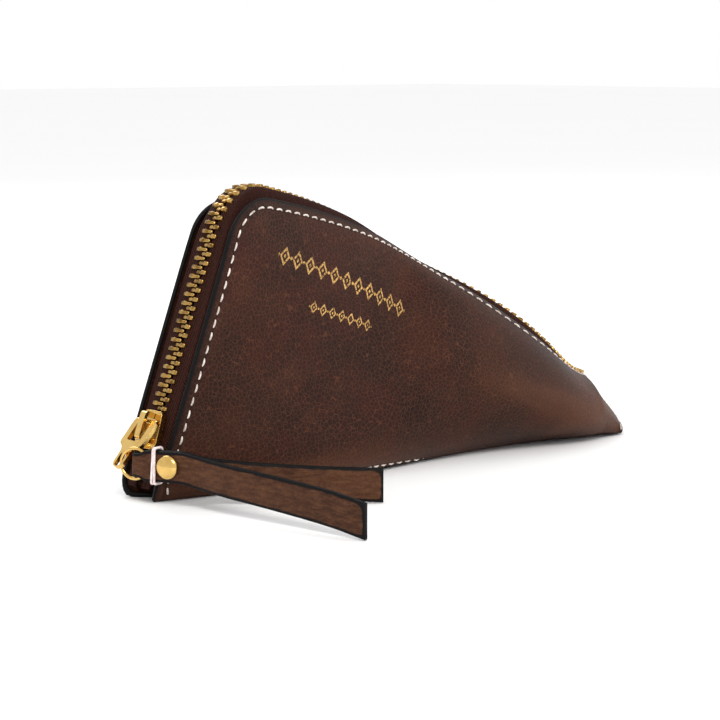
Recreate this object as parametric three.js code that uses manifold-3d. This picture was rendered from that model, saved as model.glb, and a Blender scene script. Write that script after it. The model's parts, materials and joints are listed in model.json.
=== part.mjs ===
// Zippered leather pouch: two stitched panels that run from a tall zipped end to a low flat end, a metal zip
// up the end and along the top, and a slider with a pull tab, a ring and a riveted strap.
// Millimetres. +X runs from the zipped end to the flat end, the front panel faces -Y, +Z is up.
import * as THREE from "three";
import { mergeVertices } from "three/addons/utils/BufferGeometryUtils.js";
import Module from "manifold-3d";

const wasm = await Module();
wasm.setup();

// ---------------------------------------------------------------- driving dimensions
// Panels, measured flat: s runs along them from the zipped end, w down from the top edge.
const panelLength = 196;
const tallHeight = 92;
const lowHeight = 40;
const tallCornerRadius = 12;
const lowCornerRadius = 10;
const leatherThickness = 1.3;
const liningThickness = 0.4;
const liningEndMargin = 9;
const liningEdgeMargin = 7;
const seamGap = 0.35;

// Zip: a coil of brass teeth on two woven tapes.
const stripWidthTall = 18;
const stripWidthLow = 12;
const edgesTogether = 0.8;
const stripTaperStart = 0.25;
const tapeThickness = 0.5;
const tapeUnderLeather = 6;
const toothPitch = 2.5;
const toothWidth = 1.1;
const toothReach = 2.7;
const toothHeight = 2.5;
const cordWidth = 1.0;
const rowSpacing = 1.0;
const chainDepth = 0.65;
const zipEndMargin = 24;
const stopLength = 2.6;
const stopHeight = 2.9;

// Slider, pull tab, ring, strap and rivet.
const sliderHeight = 25.4;
const sliderLength = 11;
const sliderWidth = 9.4;
const plateThickness = 0.9;
const webThickness = 0.5;
const bridgeWidth = 2.2;
const bridgeRise = 3.4;
const bridgeBar = 0.9;
const springThickness = 0.3;
const tabWidth = 9.8;
const tabThickness = 1.2;
const tabLength = 16.2;
const tabBarRadius = 0.6;
const tabWindowWidth = 5.6;
const tabWindowLength = 6.6;
const tabShoulder = 8.4;
const tabNeckWidth = 4.4;
const tabSlotDistance = 13.45;
const tabSlotWidth = 2.5;
const tabSlotLength = 4.6;
const tabSwing = 22;
const ringRadius = 4.2;
const ringTurn = 68;
const ringLean = 4;
const ringHang = 10;
const wireRadius = 0.5;
const strapThickness = 1.3;
const strapWidthInRing = 6.5;
const strapWidthAtRivet = 8.5;
const strapWidthAtEnd = 9.8;
const foldDistance = 1.7;
const threadDistance = 7.2;
const rivetDistance = 11.5;
const rivetCapRadius = 3.3;
const rivetPostRadius = 1.0;
const threadRadius = 0.4;
const stitchInset = 3;
const stitchLift = 0.5;
const stitchTableClearance = 3;
const stitchThreadWidth = 0.6;
const stitchThreadHeight = 0.4;

// Clearances between pieces.
const touchGap = 0.3;
const tapeGap = 0.8;
const liningGap = 0.4;
const plateGap = 0.25;
const flatBottom = 0.8;

// Shape of the standing pouch at even steps along it, zipped end first.
const alongShare = [0, 0.229, 0.468, 0.817, 1.025];
const halfWidths = [9.3, 11, 17.58, 24, 19.7];
const cornerPowers = [5, 2.72, 1.6, 2.59];
const rollDegrees = [0, -17.89, 2.63, 2.35];
const sideShift = [0, -3.18, -8.51, -4.42];
const leanDegrees = [21.2, 29.67, 11.83, -11.76];
const zipShift = [0, 1.21, 2.67, 1, 16.79];
const endSkew = 0.888;

// ---------------------------------------------------------------- small maths
const radians = THREE.MathUtils.degToRad;
const clamp01 = (x) => Math.min(1, Math.max(0, x));
const signedPower = (x, p) => Math.sign(x) * Math.abs(x) ** p;
const V = (x, y, z) => new THREE.Vector3(x, y, z);

// A smooth curve through evenly spaced values, at share x of the way along.
function through(values, x) {
  const last = values.length - 1;
  const at = clamp01(x) * last;
  const i = Math.min(Math.floor(at), last - 1);
  const f = at - i;
  const b = values[i];
  const c = values[i + 1];
  const a = i > 0 ? values[i - 1] : 2 * b - c;
  const d = i < last - 1 ? values[i + 2] : 2 * c - b;
  return 0.5 * (2 * b + (c - a) * f + (2 * a - 5 * b + 4 * c - d) * f * f + (3 * b - a - 3 * c + d) * f ** 3);
}

const panelHeight = (u) => tallHeight - (tallHeight - lowHeight) * clamp01(u);
// Past the zip's end the two leather edges come together, and the low end is sewn flat.
function stripWidth(u) {
  const taper = clamp01((u - stripTaperStart) / (1 - stripTaperStart));
  const open = stripWidthTall - (stripWidthTall - stripWidthLow) * taper;
  const zipEnds = (panelLength - zipEndMargin + stopLength) / panelLength;
  return open + (edgesTogether - open) * clamp01((u - zipEnds) / (1 - zipEnds));
}


// ---------------------------------------------------------------- the pouch's outer skin
// The section at share u is a rounded box whose girth is both panels and the zip strip.
const sectionSteps = 240;
const sectionCache = new Map();

function sectionPoint(section, turn, depth) {
  const power = 2 / section.power;
  const y = -(section.halfWidth - depth) * signedPower(Math.sin(turn), power);
  const z = (section.halfHeight - depth) * signedPower(Math.cos(turn), power);
  const c = Math.cos(section.roll);
  const s = Math.sin(section.roll);
  return [c * y - s * z, s * y + c * z];
}

// The turn at a step round the section. Steps bunch at its four sides, where a squarish section runs fastest.
function turnOfStep(step) {
  const quarter = (4 * step) / sectionSteps;
  const whole = Math.floor(quarter);
  const f = quarter - whole;
  const eased = f < 0.5 ? 0.5 * (2 * f) ** 2.2 : 1 - 0.5 * (2 - 2 * f) ** 2.2;
  return (Math.PI / 2) * (whole + eased);
}

function girthOf(section) {
  const lengths = [0];
  let [y0, z0] = sectionPoint(section, 0, 0);
  for (let i = 1; i <= sectionSteps; i++) {
    const [y1, z1] = sectionPoint(section, turnOfStep(i), 0);
    lengths.push(lengths[i - 1] + Math.hypot(y1 - y0, z1 - z0));
    [y0, z0] = [y1, z1];
  }
  return lengths;
}

function sectionAt(u) {
  const key = Math.round(u * 1e6);
  if (sectionCache.has(key)) return sectionCache.get(key);
  const girth = 2 * panelHeight(u) + stripWidth(u);
  const section = {
    halfWidth: through(halfWidths, u),
    power: through(cornerPowers, u),
    roll: radians(through(rollDegrees, u)),
    halfHeight: 0,
    girth,
  };
  let low = 0.5;
  let high = tallHeight;
  for (let i = 0; i < 40; i++) {
    section.halfHeight = (low + high) / 2;
    if (girthOf(section)[sectionSteps] > girth) high = section.halfHeight;
    else low = section.halfHeight;
  }
  section.lengths = girthOf(section);
  let lowest = Infinity;
  for (let i = 0; i < sectionSteps; i++)
    lowest = Math.min(lowest, sectionPoint(section, turnOfStep(i), 0)[1]);
  section.lowest = lowest;
  sectionCache.set(key, section);
  return section;
}

// The turn around the section at a girth distance t from its top, towards the front.
function turnAt(section, t) {
  const whole = section.lengths[sectionSteps];
  const target = THREE.MathUtils.euclideanModulo(t / section.girth, 1) * whole;
  let low = 0;
  let high = sectionSteps;
  while (high - low > 1) {
    const middle = (low + high) >> 1;
    if (section.lengths[middle] > target) high = middle;
    else low = middle;
  }
  const step = section.lengths[high] - section.lengths[low];
  return turnOfStep(low + (target - section.lengths[low]) / step);
}

// A point at girth distance t and a depth below the skin. The underside is pressed flat on the table.
function skinPoint(u, t, depth) {
  const section = sectionAt(u);
  const [y, z] = sectionPoint(section, turnAt(section, t), depth);
  const height = Math.max(z - section.lowest, flatBottom + depth) - flatBottom;
  const lean = Math.tan(radians(through(leanDegrees, u)));
  const x = panelLength * through(alongShare, u) + lean * height + endSkew * u * u * y;
  return V(x, y + through(sideShift, u), height);
}

// A point of the front (side 1) or back (side -1) panel, s along it and w below its top edge.
function panelPoint(side, s, w, depth) {
  const u = s / panelLength;
  const t = -through(zipShift, u) + side * (stripWidth(u) / 2 + w);
  return skinPoint(u, t, depth);
}

// ---------------------------------------------------------------- meshes
const group = new THREE.Group();

function signedVolume(p) {
  let volume = 0;
  for (let i = 0; i < p.length; i += 9) {
    volume += p[i] * (p[i + 4] * p[i + 8] - p[i + 5] * p[i + 7]);
    volume += p[i + 1] * (p[i + 5] * p[i + 6] - p[i + 3] * p[i + 8]);
    volume += p[i + 2] * (p[i + 3] * p[i + 7] - p[i + 4] * p[i + 6]);
  }
  return volume / 6;
}

// Triangles from quads of points, turned to face out, without slivers where points meet.
function solidFromQuads(quads) {
  const positions = [];
  const put = (a, b, c) => {
    if (a.distanceTo(b) < 1e-3 || b.distanceTo(c) < 1e-3 || c.distanceTo(a) < 1e-3) return;
    for (const p of [a, b, c]) positions.push(p.x, p.y, p.z);
  };
  for (const [a, b, c, d] of quads) {
    put(a, b, c);
    put(a, c, d);
  }
  if (signedVolume(positions) < 0)
    for (let i = 0; i < positions.length; i += 9)
      for (let k = 0; k < 3; k++)
        [positions[i + 3 + k], positions[i + 6 + k]] = [positions[i + 6 + k], positions[i + 3 + k]];
  const geometry = new THREE.BufferGeometry();
  geometry.setAttribute("position", new THREE.Float32BufferAttribute(positions, 3));
  return geometry;
}

// A closed sheet between an outer and an inner grid of points, each rows of equal length.
function sheet(outer, inner) {
  const quads = [];
  const rows = outer.length - 1;
  const columns = outer[0].length - 1;
  for (let i = 0; i < rows; i++)
    for (let j = 0; j < columns; j++) {
      quads.push([outer[i][j], outer[i + 1][j], outer[i + 1][j + 1], outer[i][j + 1]]);
      quads.push([inner[i][j], inner[i][j + 1], inner[i + 1][j + 1], inner[i + 1][j]]);
    }
  for (let i = 0; i < rows; i++) {
    quads.push([outer[i][0], inner[i][0], inner[i + 1][0], outer[i + 1][0]]);
    quads.push([outer[i][columns], outer[i + 1][columns], inner[i + 1][columns], inner[i][columns]]);
  }
  for (let j = 0; j < columns; j++) {
    quads.push([outer[0][j], outer[0][j + 1], inner[0][j + 1], inner[0][j]]);
    quads.push([outer[rows][j], inner[rows][j], inner[rows][j + 1], outer[rows][j + 1]]);
  }
  return solidFromQuads(quads);
}

// A bar through a list of four-cornered sections. A closed one joins its last section to its first.
function bar(sections, closed = false) {
  const quads = [];
  const count = sections.length;
  for (let i = 0; i < (closed ? count : count - 1); i++) {
    const a = sections[i];
    const b = sections[(i + 1) % count];
    for (let j = 0; j < a.length; j++) {
      const k = (j + 1) % a.length;
      quads.push([a[j], b[j], b[k], a[k]]);
    }
  }
  if (!closed) {
    const [a, b] = [sections[0], sections[count - 1]];
    quads.push([a[0], a[1], a[2], a[3]]);
    quads.push([b[3], b[2], b[1], b[0]]);
  }
  return solidFromQuads(quads);
}

function toManifold(geometry, matrix = new THREE.Matrix4()) {
  const plain = new THREE.BufferGeometry();
  const loose = geometry.index ? geometry.toNonIndexed() : geometry;
  plain.setAttribute("position", loose.getAttribute("position").clone());
  plain.applyMatrix4(matrix);
  const merged = mergeVertices(plain, 1e-4);
  return new wasm.Manifold(
    new wasm.Mesh({
      numProp: 3,
      vertProperties: merged.getAttribute("position").array,
      triVerts: new Uint32Array(merged.index.array),
    }),
  );
}

function fromManifold(solid) {
  const mesh = solid.getMesh();
  const geometry = new THREE.BufferGeometry();
  geometry.setAttribute("position", new THREE.BufferAttribute(new Float32Array(mesh.vertProperties), mesh.numProp));
  geometry.setIndex(new THREE.BufferAttribute(new Uint32Array(mesh.triVerts), 1));
  return geometry;
}

const joined = (solids) => solids.reduce((whole, next) => whole.add(next));

const materials = {
  leather: { color: 0x4a2a1e, roughness: 0.55, metalness: 0 },
  strapLeather: { color: 0x6b4130, roughness: 0.6, metalness: 0 },
  lining: { color: 0x2c2422, roughness: 0.9, metalness: 0 },
  tape: { color: 0x5a3026, roughness: 0.9, metalness: 0 },
  brass: { color: 0x9c8346, roughness: 0.35, metalness: 1 },
  gold: { color: 0xd8b060, roughness: 0.2, metalness: 1 },
  steel: { color: 0x9a9a98, roughness: 0.4, metalness: 1 },
  thread: { color: 0xe6dcd4, roughness: 0.85, metalness: 0 },
};

function addMesh(name, geometry, material, parent = group) {
  const mesh = new THREE.Mesh(geometry, new THREE.MeshStandardMaterial(materials[material]));
  mesh.name = name;
  parent.add(mesh);
  return mesh;
}

// ---------------------------------------------------------------- panels, linings and stitching
const panelColumns = 34;
const cornerColumns = 5;
const panelRows = 18;

// How far a rounded corner takes the edge in, at distance x from the panel's end.
const cornerInset = (x, radius) => (x < radius ? radius - Math.sqrt(radius * radius - (radius - x) ** 2) : 0);

// The stations along a panel between two ends, closer together round its corners.
function stations(start, end, columns) {
  const list = [];
  const tall = tallCornerRadius - start;
  const low = lowCornerRadius - (panelLength - end);
  for (let i = 0; i < cornerColumns; i++) list.push(start + tall * (1 - Math.cos((Math.PI / 2) * (i / cornerColumns))));
  const from = start + tall;
  const to = end - low;
  for (let i = 0; i <= columns; i++) list.push(from + ((to - from) * i) / columns);
  for (let i = cornerColumns - 1; i >= 0; i--)
    list.push(end - low * (1 - Math.cos((Math.PI / 2) * (i / cornerColumns))));
  return list;
}

// The top and bottom of a panel at station s, both taken in by a margin.
function edgeDistances(s, margin) {
  const corner = Math.max(
    cornerInset(Math.max(s - margin, 0), Math.max(tallCornerRadius - margin, 0)),
    cornerInset(Math.max(panelLength - s - margin, 0), Math.max(lowCornerRadius - margin, 0)),
  );
  const height = panelHeight(s / panelLength);
  return [margin + corner, height - margin - corner];
}

// Rows bunch towards the top and bottom edges, where the skin bends most.
const rowShare = (j, rows) => 0.5 - 0.5 * Math.cos(Math.PI * (j / rows)) * (0.75 + 0.25 * Math.abs(Math.cos(Math.PI * (j / rows))));

function panelGrid(side, start, end, columns, rows, margin, bottomMargin, depth) {
  return stations(start, end, columns).map((s) => {
    const [top, bottom] = edgeDistances(s, margin);
    const low = bottom + margin - bottomMargin;
    const line = [];
    for (let j = 0; j <= rows; j++) line.push(panelPoint(side, s, top + (low - top) * rowShare(j, rows), depth));
    return line;
  });
}

function leatherPanel(side) {
  const layer = (depth) => panelGrid(side, 0, panelLength, panelColumns, panelRows, 0, seamGap, depth);
  return sheet(layer(0), layer(leatherThickness));
}

const liningDepth = leatherThickness + tapeGap + tapeThickness + liningGap;

function liningPanel(side) {
  const start = liningEdgeMargin;
  const end = panelLength - liningEndMargin;
  const grid = (depth) => {
    const list = [];
    const columns = 24;
    for (let i = 0; i <= columns; i++) {
      const s = start + ((end - start) * i) / columns;
      const height = panelHeight(s / panelLength);
      const top = liningEdgeMargin;
      const low = height - 2 * seamGap;
      const line = [];
      for (let j = 0; j <= 12; j++) line.push(panelPoint(side, s, top + (low - top) * rowShare(j, 12), depth));
      list.push(line);
    }
    return list;
  };
  return sheet(grid(liningDepth), grid(liningDepth + liningThickness));
}

// The panel's outline taken in by an inset, as points (s, w) with an even spacing, right round it.
function outline(inset, spacing) {
  const points = [];
  const line = (s0, w0, s1, w1) => {
    const steps = Math.max(1, Math.round(Math.hypot(s1 - s0, w1 - w0) / spacing));
    for (let i = 0; i < steps; i++) points.push([s0 + ((s1 - s0) * i) / steps, w0 + ((w1 - w0) * i) / steps]);
  };
  const arc = (s, w, radius, from, to) => {
    const steps = Math.max(3, Math.round((radius * Math.abs(to - from)) / spacing));
    for (let i = 0; i < steps; i++) {
      const angle = from + ((to - from) * i) / steps;
      points.push([s + radius * Math.cos(angle), w + radius * Math.sin(angle)]);
    }
  };
  const tall = tallCornerRadius - inset;
  const low = lowCornerRadius - inset;
  const right = panelLength - inset;
  const heightAt = (s) => panelHeight(s / panelLength);
  const bottomTall = heightAt(tallCornerRadius) - inset;
  const bottomLow = heightAt(panelLength - lowCornerRadius) - inset;
  line(inset, bottomTall - tall, inset, inset + tall);
  arc(inset + tall, inset + tall, tall, Math.PI, 1.5 * Math.PI);
  line(inset + tall, inset, right - low, inset);
  arc(right - low, inset + low, low, 1.5 * Math.PI, 2 * Math.PI);
  line(right, inset + low, right, bottomLow - low);
  arc(right - low, bottomLow - low, low, 0, 0.5 * Math.PI);
  line(right - low, bottomLow, inset + tall, bottomTall);
  arc(inset + tall, bottomTall - tall, tall, 0.5 * Math.PI, Math.PI);
  return points;
}

// The raised seam thread: up the tall end, along the top and down the low end. Below the clearance
// the thread is drawn tight into the leather, so that the panels and not the thread meet the table.
function stitching(side) {
  const isRaised = ([s, w]) => panelPoint(side, s, w, 0).z > stitchTableClearance;
  const all = outline(stitchInset, 3.5);
  const first = all.findIndex(isRaised);
  const count = all.slice(first).findIndex((point) => !isRaised(point));
  const points = all.slice(first, first + count);
  const sections = points.map(([s, w], i) => {
    const [sBefore, wBefore] = points[Math.max(0, i - 1)];
    const [sAfter, wAfter] = points[Math.min(points.length - 1, i + 1)];
    const length = Math.hypot(sAfter - sBefore, wAfter - wBefore);
    const across = [(-(wAfter - wBefore) / length) * (stitchThreadWidth / 2), ((sAfter - sBefore) / length) * (stitchThreadWidth / 2)];
    const corner = (k, depth) => panelPoint(side, s + k * across[0], w + k * across[1], depth);
    const top = -stitchLift - stitchThreadHeight;
    return [corner(-1, -stitchLift), corner(1, -stitchLift), corner(1, top), corner(-1, top)];
  });
  return bar(sections);
}

// ---------------------------------------------------------------- the zip's path and frames
const straightStart = sliderHeight - sliderLength / 2;
const zipTopEnd = panelLength - zipEndMargin;
const tallStraight = tallHeight - tallCornerRadius;
const cornerLength = (Math.PI / 2) * tallCornerRadius;
const pathLength = tallStraight + cornerLength + zipTopEnd - tallCornerRadius;

// Panel coordinates (s, w) and the corner's share at distance q up the tall end and along the top.
function edgeAt(q, inset = 0) {
  const radius = tallCornerRadius - inset;
  if (q <= tallStraight) return [inset, tallHeight - q, 0];
  if (q <= tallStraight + cornerLength) {
    const angle = (q - tallStraight) / tallCornerRadius;
    return [tallCornerRadius - radius * Math.cos(angle), tallCornerRadius - radius * Math.sin(angle), Math.sin(angle)];
  }
  return [q - tallStraight - cornerLength + tallCornerRadius, inset, 1];
}

// The height on the skin at the tall end is measured up from its foot, not down from the top.
function stripMiddle(q) {
  const [s, w, topShare] = edgeAt(q);
  const front = panelPoint(1, s, w, 0);
  const back = panelPoint(-1, s, w, 0);
  const middle = front.clone().add(back).multiplyScalar(0.5);
  const crown = skinPoint(s / panelLength, -through(zipShift, s / panelLength), 0);
  const rise = topShare > 0 ? crown.clone().sub(panelPoint(1, s, 0, 0).add(panelPoint(-1, s, 0, 0)).multiplyScalar(0.5)) : V(0, 0, 0);
  return { middle, across: front.sub(back).normalize(), rise: rise.length() * topShare * topShare };
}

function frameAt(q) {
  const step = 0.6;
  const here = stripMiddle(q);
  const before = stripMiddle(Math.max(0, q - step)).middle;
  const after = stripMiddle(Math.min(pathLength, q + step)).middle;
  const along = after.sub(before).normalize();
  const out = here.across.clone().cross(along).normalize();
  const across = along.clone().cross(out).normalize();
  const middle = here.middle.clone().addScaledVector(out, here.rise - chainDepth);
  return { middle, across, along, out };
}

// A point e to the front of the chain's middle and n outwards from it.
const zipPoint = (frame, e, n) => frame.middle.clone().addScaledVector(frame.across, e).addScaledVector(frame.out, n);

const zipStations = (from, to, spacing) => {
  const steps = Math.max(1, Math.round((to - from) / spacing));
  return Array.from({ length: steps + 1 }, (_, i) => from + ((to - from) * i) / steps);
};

// The tape runs flat beside the teeth, folds at the leather's edge and lies on under the panel.
const tapeFlat = 4.9;
const tapeFoldRoom = 0.9;
const tapeStart = 10;

function zipTape(side) {
  const inner = rowSpacing / 2 + toothReach + touchGap;
  const half = tapeThickness / 2;
  const outerDepth = leatherThickness + tapeGap;
  // The back panel's edge turns in further at the low end, so its tape folds later.
  const firstInset = side > 0 ? 0 : 0.7;
  const layer = (face) => {
    const depth = outerDepth + (face > 0 ? 0 : tapeThickness);
    return zipStations(tapeStart, pathLength - 3, 4).map((q) => {
      const frame = frameAt(q);
      const leatherEdge = panelPoint(side, ...edgeAt(q).slice(0, 2), 0).sub(frame.middle);
      const room = Math.abs(leatherEdge.dot(frame.across)) - tapeFoldRoom;
      const flat = Math.max(inner + 0.15, Math.min(tapeFlat, room));
      const line = [zipPoint(frame, side * inner, face * half), zipPoint(frame, side * flat, face * half)];
      for (const inset of [firstInset, tapeUnderLeather / 3, tapeUnderLeather]) {
        const [s, w] = edgeAt(q, inset);
        line.push(panelPoint(side, s, w, depth));
      }
      return line;
    });
  };
  return sheet(layer(1), layer(-1));
}

// One row of teeth as a comb: the cord that they are clamped on, with a tooth at every pitch.
function teethRow(side) {
  const from = rowSpacing / 2;
  const outer = from + toothReach;
  const slope = 0.1;
  const first = straightStart + 1 + (side > 0 ? 0 : toothPitch / 2);
  const last = pathLength - stopLength - 1;
  const section = (q, e) => {
    const frame = frameAt(q);
    const h = toothHeight / 2;
    return [zipPoint(frame, side * e, -h), zipPoint(frame, side * outer, -h), zipPoint(frame, side * outer, h), zipPoint(frame, side * e, h)];
  };
  const sections = [];
  for (let q = first; q + toothWidth < last; q += toothPitch) {
    sections.push(section(q - slope, outer - cordWidth), section(q + slope, from));
    sections.push(section(q + toothWidth - slope, from), section(q + toothWidth + slope, outer - cordWidth));
  }
  return bar(sections);
}

function stopBlock(fromQ, e0, e1) {
  return bar(
    [fromQ, fromQ + stopLength].map((q) => {
      const frame = frameAt(q);
      const h = stopHeight / 2;
      return [zipPoint(frame, e0, -h), zipPoint(frame, e1, -h), zipPoint(frame, e1, h), zipPoint(frame, e0, h)];
    }),
  );
}

// ---------------------------------------------------------------- slider and pull tab, in the slider's own axes
// x across towards the front, y up the zip, z outwards, with the chain's middle at z = 0.
const channelHalf = toothHeight / 2 + plateGap;
const plateTop = channelHalf + plateThickness;
const tapeSlot = 0.5;
const tabAxisY = 2;
const tabAxisZ = plateTop + 0.55 + tabBarRadius;

function roundedRect(width, bottom, top, radius) {
  const shape = new THREE.Shape();
  const x = width / 2;
  shape.moveTo(-x + radius, bottom);
  shape.lineTo(x - radius, bottom);
  shape.quadraticCurveTo(x, bottom, x, bottom + radius);
  shape.lineTo(x, top - radius);
  shape.quadraticCurveTo(x, top, x - radius, top);
  shape.lineTo(-x + radius, top);
  shape.quadraticCurveTo(-x, top, -x, top - radius);
  shape.lineTo(-x, bottom + radius);
  shape.quadraticCurveTo(-x, bottom, -x + radius, bottom);
  return shape;
}

const slab = (shape, low, high, steps = 3) =>
  toManifold(
    new THREE.ExtrudeGeometry(shape, { depth: high - low, bevelEnabled: false, curveSegments: steps }).translate(0, 0, low),
  );

const block = (x0, x1, y0, y1, z0, z1) =>
  toManifold(new THREE.BoxGeometry(x1 - x0, y1 - y0, z1 - z0).translate((x0 + x1) / 2, (y0 + y1) / 2, (z0 + z1) / 2));

// Wide at the nose, below, and narrow at the tail, above.
function sliderOutline() {
  const half = sliderLength / 2;
  const nose = sliderWidth / 2;
  const tail = nose - 0.7;
  const shape = new THREE.Shape();
  shape.moveTo(-nose + 1.5, -half);
  shape.lineTo(nose - 1.5, -half);
  shape.quadraticCurveTo(nose, -half, nose, -half + 2);
  shape.lineTo(tail, half - 1.5);
  shape.quadraticCurveTo(tail, half, tail - 1.5, half);
  shape.lineTo(-tail + 1.5, half);
  shape.quadraticCurveTo(-tail, half, -tail, half - 1.5);
  shape.lineTo(-nose, -half + 2);
  shape.quadraticCurveTo(-nose, -half, -nose + 1.5, -half);
  return shape;
}

function sliderBody() {
  const half = sliderLength / 2;
  const flangeInside = rowSpacing / 2 + toothReach + touchGap;
  const upper = slab(sliderOutline(), tapeSlot, plateTop);
  const lower = slab(sliderOutline(), -plateTop, -tapeSlot);
  const channel = block(-flangeInside, flangeInside, -half - 1, half + 1, -channelHalf, channelHalf);
  const web = block(-webThickness / 2, webThickness / 2, -half + 0.6, -half + 3.4, -plateTop + 0.2, plateTop - 0.2);
  const lugs = [-1, 1].map((end) => {
    const y = end > 0 ? bridgeTail : bridgeNose;
    return block(-bridgeWidth / 2 + 0.3, bridgeWidth / 2 - 0.3, y - 0.3, y + 0.3, plateTop - 0.2, plateTop + 0.35);
  });
  return fromManifold(joined([upper.subtract(channel), lower.subtract(channel), web, ...lugs]));
}

const bridgeNose = -3.0;
const bridgeTail = 3.9;
const bridgeTop = plateTop + bridgeRise;

// The bridge that holds the pull tab: an arch that snaps over two lugs of the body.
function sliderBridge() {
  const outside = new THREE.Shape();
  outside.moveTo(bridgeNose - 0.8, 0);
  outside.lineTo(bridgeNose - 0.8, bridgeRise - 1.1);
  outside.quadraticCurveTo(bridgeNose - 0.6, bridgeRise, bridgeNose + 0.7, bridgeRise);
  outside.lineTo(bridgeTail - 0.7, bridgeRise);
  outside.quadraticCurveTo(bridgeTail + 0.6, bridgeRise, bridgeTail + 0.8, bridgeRise - 1.1);
  outside.lineTo(bridgeTail + 0.8, 0);
  const arch = new THREE.ExtrudeGeometry(outside, { depth: bridgeWidth, bevelEnabled: false, curveSegments: 4 });
  // The profile is drawn as (y, z) and extruded across.
  const stand = new THREE.Matrix4().makeBasis(V(0, 1, 0), V(0, 0, 1), V(1, 0, 0));
  stand.setPosition(-bridgeWidth / 2, 0, plateTop + touchGap / 2);
  const inside = block(-bridgeWidth, bridgeWidth, bridgeNose + 0.75, bridgeTail - 0.75, plateTop, bridgeTop - bridgeBar);
  const pockets = [bridgeNose, bridgeTail].map((y) =>
    block(-bridgeWidth / 2 + 0.1, bridgeWidth / 2 - 0.1, y - 0.5, y + 0.5, plateTop, plateTop + 0.55),
  );
  return fromManifold([inside, ...pockets].reduce((solid, cut) => solid.subtract(cut), toManifold(arch, stand)));
}

// The flat lock spring under the bridge, above the tab's bar.
function lockSpring() {
  const top = bridgeTop - bridgeBar - touchGap / 2;
  const half = bridgeWidth / 2 - 0.3;
  return fromManifold(
    joined([
      block(-half, half, bridgeNose + 1.0, bridgeTail - 1.0, top - springThickness, top),
      block(-half, half, bridgeNose + 1.0, bridgeNose + 1.3, plateTop + touchGap, top),
    ]),
  );
}

// The tab's outline: a wide frame down to its shoulder, then a neck with a round end.
function tabOutline() {
  const side = tabWidth / 2;
  const neck = tabNeckWidth / 2;
  const shape = new THREE.Shape();
  shape.moveTo(side - 0.5, 0);
  shape.lineTo(side, -0.6);
  shape.lineTo(side, -tabShoulder + 1);
  shape.quadraticCurveTo(side, -tabShoulder, side - 1, -tabShoulder - 0.5);
  shape.quadraticCurveTo(neck, -tabShoulder - 1.4, neck, -tabShoulder - 3);
  shape.lineTo(neck, -tabLength + neck);
  shape.absarc(0, -tabLength + neck, neck, 0, -Math.PI, true);
  shape.lineTo(-neck, -tabShoulder - 3);
  shape.quadraticCurveTo(-neck, -tabShoulder - 1.4, -side + 1, -tabShoulder - 0.5);
  shape.quadraticCurveTo(-side, -tabShoulder, -side, -tabShoulder + 1);
  shape.lineTo(-side, -0.6);
  shape.lineTo(-side + 0.5, 0);
  return shape;
}

// The tab hangs from its round bar at the origin of its own axes, down -y.
function pullTab() {
  const half = tabThickness / 2;
  const window = roundedRect(tabWindowWidth, -tabBarRadius - tabWindowLength, 0.8, 0.8);
  const slotCentre = -tabSlotDistance;
  const slot = roundedRect(tabSlotWidth, slotCentre - tabSlotLength / 2, slotCentre + tabSlotLength / 2, 1.1);
  const plate = slab(tabOutline(), -half, half, 5);
  const cuts = [window, slot].map((shape) => slab(shape, -tabThickness, tabThickness, 4));
  const rod = new THREE.CylinderGeometry(tabBarRadius, tabBarRadius, tabWidth - 1, 12).rotateZ(Math.PI / 2);
  return fromManifold(joined([plate.subtract(cuts[0]).subtract(cuts[1]), toManifold(rod)]));
}

// ---------------------------------------------------------------- ring, strap, rivet and thread
const ringAngle = radians(ringTurn);
const ringRight = V(Math.cos(ringAngle), -Math.sin(ringAngle), 0);
const ringInward = V(Math.sin(ringAngle), Math.cos(ringAngle), 0);
const ringUp = V(0, 0, Math.cos(radians(ringLean))).addScaledVector(ringInward, Math.sin(radians(ringLean)));

// Each layer of the strap leaves the fold on its own side of the ring, and they close up at the thread.
const layerApart = strapThickness / 2 + 0.15;
const layerAtRing = wireRadius + touchGap + strapThickness / 2;
const layerRun = [
  [0, layerAtRing],
  [2.2, layerAtRing],
  [3.9, layerAtRing],
  [threadDistance - foldDistance, layerApart + 0.1],
  [rivetDistance - foldDistance, layerApart],
  [rivetDistance - foldDistance + rivetCapRadius + 1, layerApart],
];
// The two tails' middle lines, from the rivet to their ends on the table.
const nearTail = [V(4.3, -24, 10.4), V(5.2, -35, 9.6), V(7, -47, 8.8), V(10.4, -71, 6.8), V(12.2, -82, 5.0)];
const backTail = [V(8.5, -20, 9.6), V(18, -27, 7.8), V(34, -39, 6), V(48.5, -50.4, 5.0)];
const tailWiden = 70;

const easeIn = (x) => clamp01(x) ** 2 * (3 - 2 * clamp01(x));

function strapHalfWidth(distance) {
  const ringPart = (strapWidthAtRivet - strapWidthInRing) * easeIn(distance / 3);
  const tailPart = (strapWidthAtEnd - strapWidthAtRivet) * clamp01((distance - 3) / tailWiden);
  return (strapWidthInRing + ringPart + tailPart) / 2;
}

const strapLeanAt = (distance) => radians(ringLean * (1 - clamp01(distance / tailWiden)));

function layerCurve(foldCentre, side, tail) {
  const shared = layerRun.map(([distance, apart]) =>
    foldCentre.clone().addScaledVector(ringRight, distance).addScaledVector(ringInward, side * apart),
  );
  return new THREE.CatmullRomCurve3([...shared, ...tail], false, "centripetal");
}

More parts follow.
